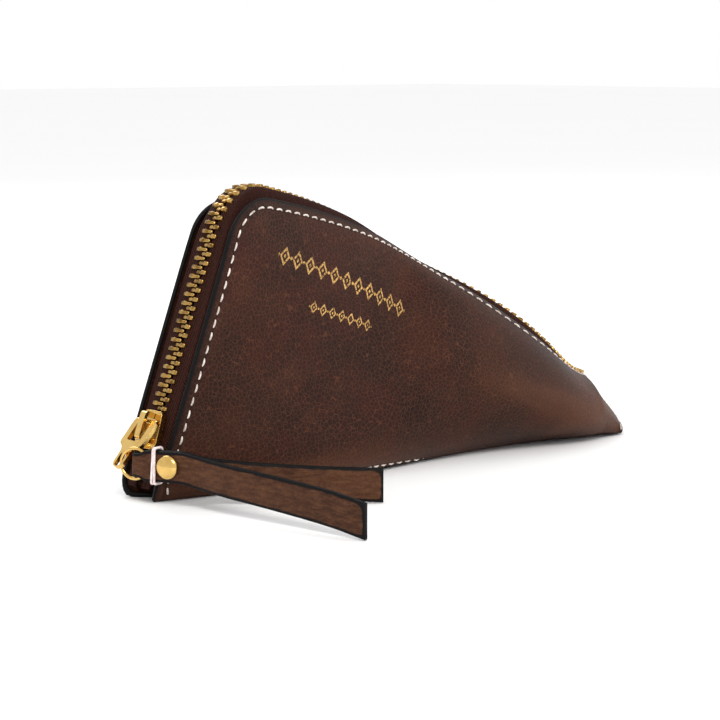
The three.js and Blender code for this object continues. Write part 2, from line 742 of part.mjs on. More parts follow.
// Stations from the near tail's end, round the fold in the ring, to the back tail's end.
function strapStations(foldCentre, lowest) {
  const layer = (side, tail) => {
    const curve = layerCurve(foldCentre, side, tail);
    const length = curve.getLength();
    const steps = Math.round(length / 3);
    return Array.from({ length: steps + 1 }, (_, i) => ({ point: curve.getPointAt(i / steps), distance: (length * i) / steps }));
  };
  const fold = [];
  const foldSteps = 8;
  for (let i = 1; i < foldSteps; i++) {
    const angle = -Math.PI / 2 - (Math.PI * i) / foldSteps;
    const point = foldCentre.clone().addScaledVector(ringRight, layerAtRing * Math.cos(angle));
    fold.push({ point: point.addScaledVector(ringInward, layerAtRing * Math.sin(angle)), distance: 0 });
  }
  const run = [...layer(-1, nearTail).reverse(), ...fold, ...layer(1, backTail)];
  for (const station of run) {
    const half = strapHalfWidth(station.distance);
    station.point.z = Math.max(station.point.z, lowest + half);
  }
  return run;
}

function strapGeometry(run) {
  const sections = run.map((station, i) => {
    const before = run[Math.max(0, i - 1)].point;
    const after = run[Math.min(run.length - 1, i + 1)].point;
    const along = after.clone().sub(before).setZ(0).normalize();
    const normal = V(along.y, -along.x, 0);
    const lean = strapLeanAt(station.distance);
    const up = V(0, 0, Math.cos(lean)).addScaledVector(ringInward, Math.sin(lean)).multiplyScalar(strapHalfWidth(station.distance));
    const corner = (u, n) => station.point.clone().addScaledVector(up, u).addScaledVector(normal, (n * strapThickness) / 2);
    return [corner(-1, -1), corner(1, -1), corner(1, 1), corner(-1, 1)];
  });
  return bar(sections);
}

// ---------------------------------------------------------------- assembly
addMesh("front_panel", leatherPanel(1), "leather");
addMesh("back_panel", leatherPanel(-1), "leather");
addMesh("front_lining", liningPanel(1), "lining");
addMesh("back_lining", liningPanel(-1), "lining");
addMesh("front_stitching", stitching(1), "thread");
addMesh("back_stitching", stitching(-1), "thread");
addMesh("zip_tape_front", zipTape(1), "tape");
addMesh("zip_tape_back", zipTape(-1), "tape");
addMesh("zip_teeth_front", teethRow(1), "brass");
addMesh("zip_teeth_back", teethRow(-1), "brass");
const stopOuter = rowSpacing / 2 + toothReach;
const topStopAt = straightStart - stopLength - touchGap;
addMesh("top_stop_front", stopBlock(topStopAt, rowSpacing / 2, stopOuter), "brass");
addMesh("top_stop_back", stopBlock(topStopAt, -stopOuter, -rowSpacing / 2), "brass");
addMesh("bottom_stop", stopBlock(pathLength - stopLength, -stopOuter + 0.3, stopOuter), "brass");

const sliderFrame = frameAt(sliderHeight);
const slider = new THREE.Group();
slider.name = "slider_axes";
slider.matrixAutoUpdate = false;
slider.matrix.makeBasis(sliderFrame.across, sliderFrame.along, sliderFrame.out).setPosition(sliderFrame.middle);
group.add(slider);
addMesh("slider_body", sliderBody(), "gold", slider);
addMesh("slider_bridge", sliderBridge(), "gold", slider);
addMesh("slider_lock_spring", lockSpring(), "steel", slider);

const tab = new THREE.Group();
tab.name = "tab_axes";
tab.position.set(0, tabAxisY, tabAxisZ);
tab.rotation.x = radians(-tabSwing);
slider.add(tab);
addMesh("pull_tab", pullTab(), "gold", tab);

// The ring stands in the tab's slot, a little above its own left side, in the plane of the strap.
slider.updateMatrixWorld(true);
const slotCentre = V(0, -tabSlotDistance, 0).applyMatrix4(tab.matrixWorld);
const hang = radians(ringHang);
const ringCentre = slotCentre
  .clone()
  .addScaledVector(ringRight, ringRadius * Math.cos(hang))
  .addScaledVector(ringUp, -ringRadius * Math.sin(hang));
const ring = addMesh("pull_ring", new THREE.TorusGeometry(ringRadius, wireRadius, 8, 32), "gold");
const ringAxis = ringRight.clone().cross(ringUp);
ring.applyMatrix4(new THREE.Matrix4().makeBasis(ringRight, ringUp, ringAxis).setPosition(ringCentre));

const foldCentre = ringCentre.clone().addScaledVector(ringRight, foldDistance);
const run = strapStations(foldCentre, 0.1);
const rivetCentre = ringCentre.clone().addScaledVector(ringRight, rivetDistance);
const rivetAxes = new THREE.Group();
rivetAxes.name = "rivet_axes";
rivetAxes.position.copy(rivetCentre);
rivetAxes.quaternion.setFromUnitVectors(V(0, 1, 0), ringAxis);
group.add(rivetAxes);
rivetAxes.updateMatrixWorld(true);

const capFoot = strapThickness + 0.15 + touchGap / 2;
const domeProfile = (radius, foot, height) => [
  new THREE.Vector2(0, foot),
  new THREE.Vector2(radius - 0.2, foot),
  new THREE.Vector2(radius, foot + 0.3),
  new THREE.Vector2(radius * 0.75, foot + height * 0.8),
  new THREE.Vector2(radius * 0.35, foot + height),
  new THREE.Vector2(0, foot + height * 1.05),
];
addMesh("rivet_cap", new THREE.LatheGeometry(domeProfile(rivetCapRadius, capFoot + 0.2, 1.5), 24), "gold", rivetAxes);
const postTop = capFoot;
const postProfile = [
  new THREE.Vector2(0, -capFoot - 1.2),
  new THREE.Vector2(rivetCapRadius * 0.6, -capFoot - 1.1),
  new THREE.Vector2(rivetCapRadius * 0.85, -capFoot - 0.5),
  new THREE.Vector2(rivetCapRadius * 0.85, -capFoot - 0.15),
  new THREE.Vector2(rivetPostRadius, -capFoot - 0.15),
  new THREE.Vector2(rivetPostRadius, postTop),
  new THREE.Vector2(0, postTop),
];
addMesh("rivet_post", new THREE.LatheGeometry(postProfile, 20), "gold", rivetAxes);

const rivetHole = toManifold(
  new THREE.CylinderGeometry(rivetPostRadius + touchGap, rivetPostRadius + touchGap, 8, 16),
  rivetAxes.matrixWorld,
);
addMesh("pull_strap", fromManifold(toManifold(strapGeometry(run)).subtract(rivetHole)), "strapLeather");

// The thread goes once round both layers, over the strap's two edges.
function strapThread() {
  const centre = ringCentre.clone().addScaledVector(ringRight, threadDistance);
  const halfUp = strapHalfWidth(threadDistance) + touchGap + threadRadius;
  const halfOut = layerApart + 0.1 + strapThickness / 2 + touchGap + threadRadius;
  const turns = 4;
  const points = [];
  for (const [a, b, start] of [[1, 1, 0], [-1, 1, 1], [-1, -1, 2], [1, -1, 3]])
    for (let i = 0; i < turns; i++) {
      const angle = (Math.PI / 2) * (start + i / (turns - 1));
      points.push([a * (halfOut - threadRadius) + threadRadius * Math.cos(angle), b * (halfUp - threadRadius) + threadRadius * Math.sin(angle)]);
    }
  const sections = points.map(([x, y], i) => {
    const before = points[(i + points.length - 1) % points.length];
    const after = points[(i + 1) % points.length];
    const d = new THREE.Vector2(after[0] - before[0], after[1] - before[1]).normalize();
    const point = centre.clone().addScaledVector(ringAxis, x).addScaledVector(ringUp, y);
    const side = ringAxis.clone().multiplyScalar(d.y).addScaledVector(ringUp, -d.x);
    const corner = (a, b) => point.clone().addScaledVector(side, a * threadRadius).addScaledVector(ringRight, b * threadRadius);
    return [corner(-1, -1), corner(1, -1), corner(1, 1), corner(-1, 1)];
  });
  return bar(sections, true);
}
addMesh("strap_thread", strapThread(), "thread");

// The middle of the object's footprint goes to the origin.
group.updateMatrixWorld(true);
const box = new THREE.Box3().setFromObject(group, true);
const centre = box.getCenter(V(0, 0, 0));
group.position.set(-centre.x, -centre.y, -box.min.z);
group.updateMatrixWorld(true);

export default group;
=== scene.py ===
"""Zippered leather pouch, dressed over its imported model.

Lengths are in millimetres until a mesh is made, and in metres in Blender.
"""

import json
import math

import bpy
import numpy as np
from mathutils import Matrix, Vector


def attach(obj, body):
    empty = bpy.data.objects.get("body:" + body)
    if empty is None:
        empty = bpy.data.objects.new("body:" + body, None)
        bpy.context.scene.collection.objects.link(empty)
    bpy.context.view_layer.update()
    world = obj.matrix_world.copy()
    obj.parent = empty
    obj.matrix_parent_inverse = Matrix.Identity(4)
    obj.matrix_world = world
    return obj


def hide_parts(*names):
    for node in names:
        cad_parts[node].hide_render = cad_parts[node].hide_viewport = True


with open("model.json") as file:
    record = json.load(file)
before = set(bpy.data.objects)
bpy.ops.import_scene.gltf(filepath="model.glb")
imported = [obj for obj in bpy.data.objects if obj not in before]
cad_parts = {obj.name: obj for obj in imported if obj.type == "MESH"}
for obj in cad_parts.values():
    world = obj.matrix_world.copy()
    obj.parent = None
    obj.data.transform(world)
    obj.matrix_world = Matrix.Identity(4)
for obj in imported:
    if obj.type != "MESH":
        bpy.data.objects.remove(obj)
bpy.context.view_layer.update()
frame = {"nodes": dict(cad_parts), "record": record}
MM = 0.001

# ------------------------------------------------------------------ the pouch's own sizes, as cut
PANEL_LENGTH = 196.0
TALL_HEIGHT, LOW_HEIGHT = 92.0, 40.0
TALL_CORNER, LOW_CORNER = 12.0, 10.0
LEATHER, LINING, TAPE = 1.3, 0.4, 0.5
STRIP_TALL, STRIP_LOW, EDGES_TOGETHER, STRIP_TAPER_START = 18.0, 12.0, 0.8, 0.25
ZIP_END_MARGIN, STOP_LENGTH = 24.0, 2.6
TOOTH_PITCH, TOOTH_REACH, ROW_SPACING = 2.5, 2.7, 1.0
CHAIN_DEPTH, SLIDER_HEIGHT, SLIDER_LENGTH = 0.65, 25.4, 11.0
TAPE_FLAT, TAPE_UNDER, TAPE_GAP, TAPE_START, FOLD_ROOM = 4.9, 6.0, 0.8, 10.0, 0.9
TOUCH_GAP, FLAT_BOTTOM, SEAM_GAP = 0.3, 0.8, 0.35
STITCH_PITCH, STITCH_LENGTH, STITCH_INSET, THREAD_RADIUS = 3.546, 2.5, 3.0, 0.3

# How the standing pouch is bent, at even steps from the zipped end to the low end.
ALONG_SHARE = [0, 0.229, 0.468, 0.817, 1.025]
HALF_WIDTHS = [9.3, 11, 17.58, 24, 19.7]
CORNER_POWERS = [5, 2.72, 1.6, 2.59]
ROLL_DEGREES = [0, -17.89, 2.63, 2.35]
SIDE_SHIFT = [0, -3.18, -8.51, -4.42]
LEAN_DEGREES = [21.2, 29.67, 11.83, -11.76]
ZIP_SHIFT = [0, 1.21, 2.67, 1, 16.79]
END_SKEW = 0.888

# Where the tall end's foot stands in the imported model, from the tab's hinge.
joints = {j["name"]: j for j in frame["record"]["behaviour"]["joints"]}
TAB_HINGE = np.array(joints["tab_hinge"]["pos_m"]) * 1000
HINGE_FROM_FOOT = np.array([5.3235, 0.0, 21.739])
FOOT = TAB_HINGE - HINGE_FROM_FOOT


# ------------------------------------------------------------------ small maths
def through(values, x):
    """A smooth curve through evenly spaced values, at share x of the way along."""
    v = np.asarray(values, float)
    last = len(v) - 1
    at = np.clip(x, 0, 1) * last
    i = np.minimum(at.astype(int), last - 1)
    f = at - i
    b, c = v[i], v[i + 1]
    a = np.where(i > 0, v[np.maximum(i - 1, 0)], 2 * b - c)
    d = np.where(i < last - 1, v[np.minimum(i + 2, last)], 2 * c - b)
    bend = (2 * a - 5 * b + 4 * c - d) * f**2 + (3 * b - a - 3 * c + d) * f**3
    return 0.5 * (2 * b + (c - a) * f + bend)


def signed_power(x, p):
    return np.sign(x) * np.abs(x) ** p


def unit(v):
    return v / np.linalg.norm(v, axis=-1, keepdims=True)


def dot(a, b):
    return (a * b).sum(-1, keepdims=True)


# ------------------------------------------------------------------ the bent skin
def panel_height(u):
    return TALL_HEIGHT - (TALL_HEIGHT - LOW_HEIGHT) * np.clip(u, 0, 1)


def strip_width(u):
    """The gap between the panels' top edges, which is sewn shut past the end of the zip."""
    taper = np.clip((u - STRIP_TAPER_START) / (1 - STRIP_TAPER_START), 0, 1)
    width = STRIP_TALL - (STRIP_TALL - STRIP_LOW) * taper
    ends = (PANEL_LENGTH - ZIP_END_MARGIN + STOP_LENGTH) / PANEL_LENGTH
    return width + (EDGES_TOGETHER - width) * np.clip((u - ends) / (1 - ends), 0, 1)


SECTION_STEPS, STEP_EASE, TABLE_SIZE, HALVINGS, SKIN_BATCH = 240, 2.2, 601, 36, 8000


def turn_of_step(step):
    """The turn at a step round a section. Steps bunch at its four sides, where it turns fastest."""
    quarter = 4 * np.asarray(step, float) / SECTION_STEPS
    whole = np.floor(quarter)
    f = quarter - whole
    eased_turn = np.where(f < 0.5, 0.5 * (2 * f) ** STEP_EASE, 1 - 0.5 * (2 - 2 * f) ** STEP_EASE)
    return math.pi / 2 * (whole + eased_turn)


TURNS = turn_of_step(np.arange(SECTION_STEPS + 1))


def section_points(half_width, half_height, power, roll, turn, depth):
    """Points of a rounded section at a turn from its top, a depth in from its outline."""
    y = -(half_width - depth) * signed_power(np.sin(turn), 2 / power)
    z = (half_height - depth) * signed_power(np.cos(turn), 2 / power)
    return np.cos(roll) * y - np.sin(roll) * z, np.sin(roll) * y + np.cos(roll) * z


def section_shape(u):
    """The half width, corner power and roll of the sections at u."""
    return (
        through(HALF_WIDTHS, u)[:, None],
        through(CORNER_POWERS, u)[:, None],
        np.radians(through(ROLL_DEGREES, u))[:, None],
    )


def girth_lengths(u, half_height):
    """The length round each section up to every step, and each section's lowest height."""
    half_width, power, roll = section_shape(u)
    y, z = section_points(half_width, half_height[:, None], power, roll, TURNS[None], 0.0)
    steps = np.hypot(np.diff(y, axis=1), np.diff(z, axis=1))
    return np.concatenate([np.zeros((len(u), 1)), np.cumsum(steps, axis=1)], 1), z.min(1)


def half_height_table():
    """The half height at which each section's girth is what the leather and the strip measure."""
    u = np.linspace(0, 1, TABLE_SIZE)
    girth = 2 * panel_height(u) + strip_width(u)
    low, high = np.full_like(u, 0.5), np.full_like(u, TALL_HEIGHT)
    for _ in range(HALVINGS):
        middle = (low + high) / 2
        too_long = girth_lengths(u, middle)[0][:, -1] > girth
        high = np.where(too_long, middle, high)
        low = np.where(too_long, low, middle)
    return u, low, girth_lengths(u, low)[1]


TABLE_U, TABLE_HALF_HEIGHT, TABLE_LOWEST = half_height_table()


def skin(u, t, depth):
    """Points at girth distance t from the top of section u, a depth below the skin."""
    u, t, depth = (np.ravel(a).astype(float) for a in np.broadcast_arrays(u, t, depth))
    if len(u) > SKIN_BATCH:
        parts = [slice(i, i + SKIN_BATCH) for i in range(0, len(u), SKIN_BATCH)]
        return np.concatenate([skin(u[p], t[p], depth[p]) for p in parts])
    half_height = np.interp(u, TABLE_U, TABLE_HALF_HEIGHT)
    lengths, _ = girth_lengths(u, half_height)
    girth = 2 * panel_height(u) + strip_width(u)
    target = np.mod(t / girth, 1) * lengths[:, -1]
    i = np.clip((lengths <= target[:, None]).sum(1) - 1, 0, len(TURNS) - 2)
    rows = np.arange(len(u))
    f = (target - lengths[rows, i]) / (lengths[rows, i + 1] - lengths[rows, i])
    turn = turn_of_step(i + f)[:, None]
    half_width, power, roll = section_shape(u)
    y, z = section_points(half_width, half_height[:, None], power, roll, turn, depth[:, None])
    y, z = y[:, 0], z[:, 0]
    height = np.maximum(z - np.interp(u, TABLE_U, TABLE_LOWEST), FLAT_BOTTOM + depth) - FLAT_BOTTOM
    lean = np.tan(np.radians(through(LEAN_DEGREES, u)))
    x = PANEL_LENGTH * through(ALONG_SHARE, u) + lean * height + END_SKEW * u * u * y
    return np.stack([x, y + through(SIDE_SHIFT, u), height], 1) + FOOT


def panel_point(side, s, w, depth):
    """A point of the front (side 1) or back (side -1) panel: s along it, w below its top edge."""
    u = np.asarray(s, float) / PANEL_LENGTH
    return skin(u, -through(ZIP_SHIFT, u) + side * (strip_width(u) / 2 + w), depth)


# ------------------------------------------------------------------ meshes
def mesh_piece(name, points, faces, body, slot=None, replaces=(), **attributes):
    """A mesh from points in millimetres, riding on a body, with one number per point in each attribute."""
    mesh = bpy.data.meshes.new(name)
    mesh.from_pydata((np.asarray(points, float) * MM).tolist(), [], [list(map(int, f)) for f in faces])
    mesh.validate()
    for key, values in attributes.items():
        layer = mesh.attributes.new(key, "FLOAT", "POINT")
        layer.data.foreach_set("value", np.asarray(values, np.float32))
    mesh.polygons.foreach_set("use_smooth", [True] * len(mesh.polygons))
    mesh.update()
    piece = bpy.data.objects.new(name, mesh)
    bpy.context.scene.collection.objects.link(piece)
    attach(piece, body)
    if replaces:
        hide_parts(*replaces)
    return piece


def grid_faces(rows, columns, first=0, flip=False):
    """Quads of a grid that is stored row by row, from the first index."""
    faces = []
    for i in range(rows - 1):
        for j in range(columns - 1):
            a = first + i * columns + j
            b = a + columns
            quad = [a, a + 1, b + 1, b]
            faces.append(quad[::-1] if flip else quad)
    return faces


def border(rows, columns):
    """The indices round the edge of a grid, in order."""
    top = list(range(columns))
    right = [i * columns + columns - 1 for i in range(1, rows)]
    bottom = [(rows - 1) * columns + j for j in range(columns - 2, -1, -1)]
    left = [i * columns for i in range(rows - 2, 0, -1)]
    return top + right + bottom + left


def loop_faces(a, b):
    return [[a[i], a[(i + 1) % len(a)], b[(i + 1) % len(b)], b[i]] for i in range(len(a))]


def bar_faces(count, size, closed=False, first=0):
    """Faces of a bar through count rings of size points, capped at its ends unless it is closed."""
    faces = []
    for i in range(count if closed else count - 1):
        a = first + i * size
        b = first + ((i + 1) % count) * size
        for j in range(size):
            k = (j + 1) % size
            faces.append([a + j, a + k, b + k, b + j])
    if not closed:
        last = first + (count - 1) * size
        faces += [[first + j for j in range(size - 1, -1, -1)], [last + j for j in range(size)]]
    return faces


def swept(name, sections, body, closed=False, **options):
    """A piece that is a bar through equal rings of points."""
    sections = np.asarray(sections, float)
    faces = bar_faces(*sections.shape[:2], closed)
    return mesh_piece(name, sections.reshape(-1, 3), faces, body, **options)


def rounded_rectangle(half_x, half_y, radius, shares):
    """(x, y, angle) round a rectangle with round corners, at shares of each corner's turn."""
    ring = []
    for corner, (a, b) in enumerate(((1, 1), (-1, 1), (-1, -1), (1, -1))):
        for share in shares:
            angle = (corner + share) * math.pi / 2
            x = a * (half_x - radius) + radius * math.cos(angle)
            y = b * (half_y - radius) + radius * math.sin(angle)
            ring.append((x, y, angle))
    return ring


def tube_sections(path, normals, radius, sides=8, closed=False):
    """Rings round a path. normals gives one direction across it at each point."""
    path, normals = np.asarray(path, float), np.asarray(normals, float)
    if closed:
        ahead = np.roll(path, -1, 0) - np.roll(path, 1, 0)
    else:
        ahead = np.gradient(path, axis=0)
    ahead = unit(ahead)
    across = unit(normals - ahead * dot(normals, ahead))
    other = np.cross(ahead, across)
    turn = np.linspace(0, 2 * math.pi, sides, endpoint=False)
    radius = np.broadcast_to(np.asarray(radius, float), (len(path),))[:, None, None]
    ring = np.cos(turn)[None, :, None] * across[:, None] + np.sin(turn)[None, :, None] * other[:, None]
    return path[:, None] + radius * ring


# ------------------------------------------------------------------ shader maths
class Sock:
    """A shader socket that adds its Math nodes when it is used in an expression."""

    def __init__(self, mat, link):
        self.mat, self.link = mat, link

    def _math(self, operation, *values):
        return self.mat.node("ShaderNodeMath", {"operation": operation}, dict(enumerate(values)))

    def __add__(self, other):
        return self._math("ADD", self, other)

    def __sub__(self, other):
        return self._math("SUBTRACT", self, other)

    def __rsub__(self, other):
        return self._math("SUBTRACT", other, self)

    def __mul__(self, other):
        return self._math("MULTIPLY", self, other)

    def __truediv__(self, other):
        return self._math("DIVIDE", self, other)

    def __gt__(self, other):
        return self._math("GREATER_THAN", self, other)

    def __lt__(self, other):
        return self._math("LESS_THAN", self, other)

    def __abs__(self):
        return self._math("ABSOLUTE", self)

    __radd__ = __add__
    __rmul__ = __mul__

    def max(self, other):
        return self._math("MAXIMUM", self, other)

    def min(self, other):
        return self._math("MINIMUM", self, other)

    def fraction(self):
        return self._math("FRACT", self)

    def sine(self):
        return self._math("SINE", self)

    def ramp(self, low, high):
        """0 below low, 1 above high and smooth between."""
        sockets = {"Value": self, "From Min": low, "From Max": high}
        return self.mat.node("ShaderNodeMapRange", {"interpolation_type": "SMOOTHSTEP"}, sockets)


class Mat:
    """A node material with one Principled shader."""

    def __init__(self, name, **constants):
        self.material = bpy.data.materials.new(name)
        self.material.use_nodes = True
        self.tree = self.material.node_tree
        self.shader = next(n for n in self.tree.nodes if n.type == "BSDF_PRINCIPLED")
        self.set(**constants)

    def set(self, **sockets):
        for key, value in sockets.items():
            self._feed(self.shader.inputs[key.replace("_", " ")], value)

    def _feed(self, socket, value):
        if isinstance(value, Sock):
            self.tree.links.new(value.link, socket)
        else:
            socket.default_value = value

    def node(self, kind, settings=None, sockets=None, out=0):
        made = self.tree.nodes.new(kind)
        for key, value in (settings or {}).items():
            setattr(made, key, value)
        for key, value in (sockets or {}).items():
            self._feed(made.inputs[key], value)
        return Sock(self, made.outputs[out])

    def place(self):
        return self.node("ShaderNodeTexCoord", out="Object")

    def stretched(self, x, y, z):
        return self.node("ShaderNodeVectorMath", {"operation": "MULTIPLY"}, {0: self.place(), 1: (x, y, z)})

    def noise(self, scale, detail=3.0, roughness=0.6, at=None):
        sockets = {"Vector": at or self.place(), "Scale": scale, "Detail": detail, "Roughness": roughness}
        return self.node("ShaderNodeTexNoise", sockets=sockets)

    def cells(self, scale, feature="F1", at=None):
        sockets = {"Vector": at or self.place(), "Scale": scale}
        return self.node("ShaderNodeTexVoronoi", {"feature": feature}, sockets, "Distance")

    def value(self, name):
        return self.node("ShaderNodeAttribute", {"attribute_name": name}, out="Fac")

    def mix(self, share, a, b):
        made = self.tree.nodes.new("ShaderNodeMix")
        made.data_type = "RGBA"
        for socket, value in ((0, share), (6, a), (7, b)):
            self._feed(made.inputs[socket], value)
        return Sock(self, made.outputs[2])

    def bump(self, height, distance, strength=1.0):
        sockets = {"Height": height, "Distance": distance * MM, "Strength": strength}
        return self.node("ShaderNodeBump", sockets=sockets)


def colour(red, green, blue):
    """A paint-chart colour, 0 to 255, as the linear colour that the shader wants."""
    channels = [c / 255 for c in (red, green, blue)]
    return (*[c / 12.92 if c <= 0.04045 else ((c + 0.055) / 1.055) ** 2.4 for c in channels], 1.0)


def bell(value, centre, width):
    """1 at the centre, falling off smoothly to 0 at a width either side."""
    return 1 - abs(value - centre).ramp(0.0, width)


# ------------------------------------------------------------------ finishes
FOIL_ROWS = [
    # start and end along the panel, how far below its top edge at each, height, lozenges
    (19.0, 74.5, 15.2, 22.5, 5.4, 11),
    (34.5, 60.5, 28.0, 30.0, 3.6, 7),
]
LOZENGE_SLOPE, RIM_FROM, RIM_TO, HEART_TO, DOT_RADIUS_SQUARED = 2.6, 0.62, 1.0, 0.24, 0.03


def foil_mask(s, w):
    """Two rows of hollow lozenges with a dot between each: a plain tooled ornament."""
    mask = None
    for start, end, at_start, at_end, height, count in FOIL_ROWS:
        share = (s - start) / (end - start)
        off = abs(w - (share * (at_end - at_start) + at_start)) / (height / 2)
        cell = (share * count).fraction() - 0.5
        lozenge = abs(cell) * LOZENGE_SLOPE + off
        rim = (lozenge > RIM_FROM) * (lozenge < RIM_TO)
        heart = lozenge < HEART_TO
        beside = (0.5 - abs(cell)) * (2.0 * (end - start) / count / height)
        dot_between = (beside * beside + off * off) < DOT_RADIUS_SQUARED
        inside = (share > 0.0) * (share < 1.0)
        row = (rim + heart + dot_between).min(1.0) * inside
        mask = row if mask is None else mask.max(row)
    return mask


def panel_leather(name, with_foil):
    """Mottled brown leather with a fine light crackle, wear patches with a painted sheen towards the low end,
    a stitch groove with painted shade in it, painted shade beside the cut edge, and the edge painted black.
    """
    m = Mat(name, Specular_IOR_Level=0.1)
    edge, along, down, bend = (m.value(k) for k in ("edge", "along", "down", "bend"))
    clouds = m.noise(24, 4, 0.6).ramp(0.36, 0.64)
    blotches = m.noise(60, 5, 0.65).ramp(0.42, 0.66)
    wear_and_sheen = m.noise(38, 5, 0.6, at=m.stretched(1.0, 1.0, 1.6)).ramp(0.5, 0.72)
    speckle = m.noise(1500, 3, 0.7).ramp(0.42, 0.72)
    warp = m.noise(260, 2, 0.5)
    crackle = m.cells(760, "DISTANCE_TO_EDGE").ramp(0.0, 0.07)
    base = m.mix(clouds, colour(30, 13, 8), colour(50, 27, 17))
    base = m.mix(blotches * 0.55, base, colour(52, 19, 11))
    # Wear patches everywhere, made lighter towards the low end by a painted sheen.
    base = m.mix(wear_and_sheen * (0.3 + along.ramp(90.0, 170.0) * 0.4), base, colour(78, 46, 32))
    base = m.mix(bend * 0.45, base, colour(88, 56, 40))
    base = m.mix((1 - crackle) * (0.3 + warp * 0.4), base, colour(96, 58, 40))
    base = m.mix(speckle * 0.25, base, colour(76, 46, 32))
    groove = bell(edge, STITCH_INSET, 0.9)
    # Painted shade in the stitch groove.
    base = m.mix(groove * 0.5, base, colour(24, 11, 7))
    # Painted shade on the leather beside the cut edge, fading out 3 mm in.
    base = m.mix((1 - edge.ramp(0.6, 3.0)) * 0.7, base, colour(24, 12, 8))
    paint = 1 - (edge + (speckle - 0.5) * 0.2).ramp(0.5, 0.9)
    base = m.mix(paint, base, colour(9, 7, 7))
    rough = 0.4 + speckle * 0.16 + clouds * 0.06
    grain, waves = m.noise(1100, 4, 0.7), m.noise(190, 2, 0.5)
    height = (1 - crackle) * -0.25 + grain * 0.6 + waves * 0.8 - groove * 2.4
    metal = None
    if with_foil:
        foil = foil_mask(along, down) * m.noise(1500, 2, 0.6).ramp(0.3, 0.55)
        base = m.mix(foil, base, colour(186, 146, 88))
        rough = rough * (1 - foil) + foil * 0.34
        metal = foil * 0.9
        height = height - foil * 0.6
    m.set(Base_Color=base, Roughness=rough, Normal=m.bump(height, 0.16, 0.8))
    if metal:
        m.set(Metallic=metal)
    return m.material


def strap_leather():
    """The same leather, lighter and wrinkled upwards."""
    m = Mat("strap_leather", Specular_IOR_Level=0.12)
    edge = m.value("edge")
    clouds = m.noise(70, 4, 0.6).ramp(0.35, 0.68)
    wrinkles = m.noise(420, 4, 0.7, at=m.stretched(0.6, 0.6, 2.4)).ramp(0.35, 0.72)
    speckle = m.noise(1500, 2, 0.7).ramp(0.4, 0.75)
    base = m.mix(clouds, colour(52, 27, 15), colour(74, 44, 27))
    base = m.mix(wrinkles * 0.6, base, colour(102, 68, 46))
    base = m.mix(speckle * 0.4, base, colour(44, 22, 12))
    paint = 1 - (edge + (wrinkles - 0.5) * 0.3).ramp(0.4, 0.9)
    base = m.mix(paint, base, colour(10, 7, 7))
    height = wrinkles * 0.8 + m.noise(1100, 3, 0.7) * 0.6
    m.set(Base_Color=base, Roughness=0.5 + wrinkles * 0.14, Normal=m.bump(height, 0.14, 0.8))
    return m.material


RIB_PITCH, STRAND_PITCH = 0.95, 0.8


def twill_tape():
    """Woven tape with a diagonal rib, worn lighter on its threads."""
    m = Mat("zip_tape_twill", Specular_IOR_Level=0.1)
    along, across = m.value("along"), m.value("across")
    rib = ((along + across * 1.1) * (2 * math.pi / RIB_PITCH)).sine() * 0.5 + 0.5
    strand = ((along - across * 3.2) * (2 * math.pi / STRAND_PITCH)).sine() * 0.5 + 0.5
    fuzz = m.noise(1700, 3, 0.7)
    base = m.mix(rib * 0.75, colour(26, 9, 6), colour(72, 34, 24))
    base = m.mix(strand * 0.35, base, colour(20, 8, 6))
    base = m.mix(fuzz.ramp(0.5, 0.8) * 0.4, base, colour(104, 62, 46))
    height = rib + strand * 0.5 + fuzz * 0.6
    m.set(Base_Color=base, Roughness=0.82, Normal=m.bump(height, 0.16, 0.9))
    return m.material


def waxed_thread(name, light, dark):
    m = Mat(name, Sheen_Weight=0.1)
    twist = m.cells(1500)
    base = m.mix(m.noise(600, 3, 0.7).ramp(0.35, 0.7), dark, light)
    m.set(Base_Color=base, Roughness=0.66, Normal=m.bump(twist, 0.12, 0.7))
    return m.material


def lining_cloth():
    m = Mat("lining_cloth", Sheen_Weight=0.1)
    weave = m.cells(1100) * 0.7 + m.noise(1900, 2, 0.6) * 0.4
    base = m.mix(weave, colour(24, 15, 12), colour(52, 36, 30))
    m.set(Base_Color=base, Roughness=0.85, Normal=m.bump(weave, 0.1, 0.6))
    return m.material


def aged_brass():
    m = Mat("aged_brass", Metallic=1.0)
    tarnish = m.noise(420, 4, 0.65).ramp(0.4, 0.7)
    fine = m.noise(2400, 2, 0.6)
    base = m.mix(tarnish, colour(176, 140, 78), colour(96, 70, 34))
    rough = 0.24 + tarnish * 0.16 + fine * 0.06
    m.set(Base_Color=base, Roughness=rough, Normal=m.bump(fine, 0.03, 0.5))
    return m.material


def pale_gold():
    m = Mat("pale_gold", Metallic=1.0)
    smear = m.noise(260, 4, 0.6).ramp(0.35, 0.75)
    scratches = m.noise(1500, 2, 0.5, at=m.stretched(0.4, 0.4, 2.0))
    base = m.mix(smear * 0.5, colour(222, 186, 112), colour(186, 144, 74))
    rough = 0.12 + smear * 0.08 + scratches * 0.05
    m.set(Base_Color=base, Roughness=rough, Normal=m.bump(scratches, 0.02, 0.35))
    return m.material


def spring_steel():
    m = Mat("spring_steel", Metallic=1.0)
    grain = m.noise(900, 3, 0.6, at=m.stretched(0.3, 1.0, 1.0))
    base = m.mix(grain, colour(120, 118, 112), colour(168, 166, 160))
    m.set(Base_Color=base, Roughness=0.3 + grain * 0.1)
    return m.material


FRONT_LEATHER = panel_leather("front_leather", True)
BACK_LEATHER = panel_leather("back_leather", False)
STRAP_LEATHER = strap_leather()
TWILL = twill_tape()
THREAD = waxed_thread("waxed_thread", colour(232, 222, 214), colour(176, 162, 152))
STRAP_THREAD = waxed_thread("strap_waxed_thread", colour(240, 226, 224), colour(206, 188, 186))
CLOTH = lining_cloth()
BRASS = aged_brass()
GOLD = pale_gold()
STEEL = spring_steel()


def dressed(piece, material):
    piece.data.materials.clear()
    piece.data.materials.append(material)
    return piece


# ------------------------------------------------------------------ the two leather panels
COLUMNS, CORNER_COLUMNS, ROWS = 130, 12, 64
FACE_MARGIN = 0.32
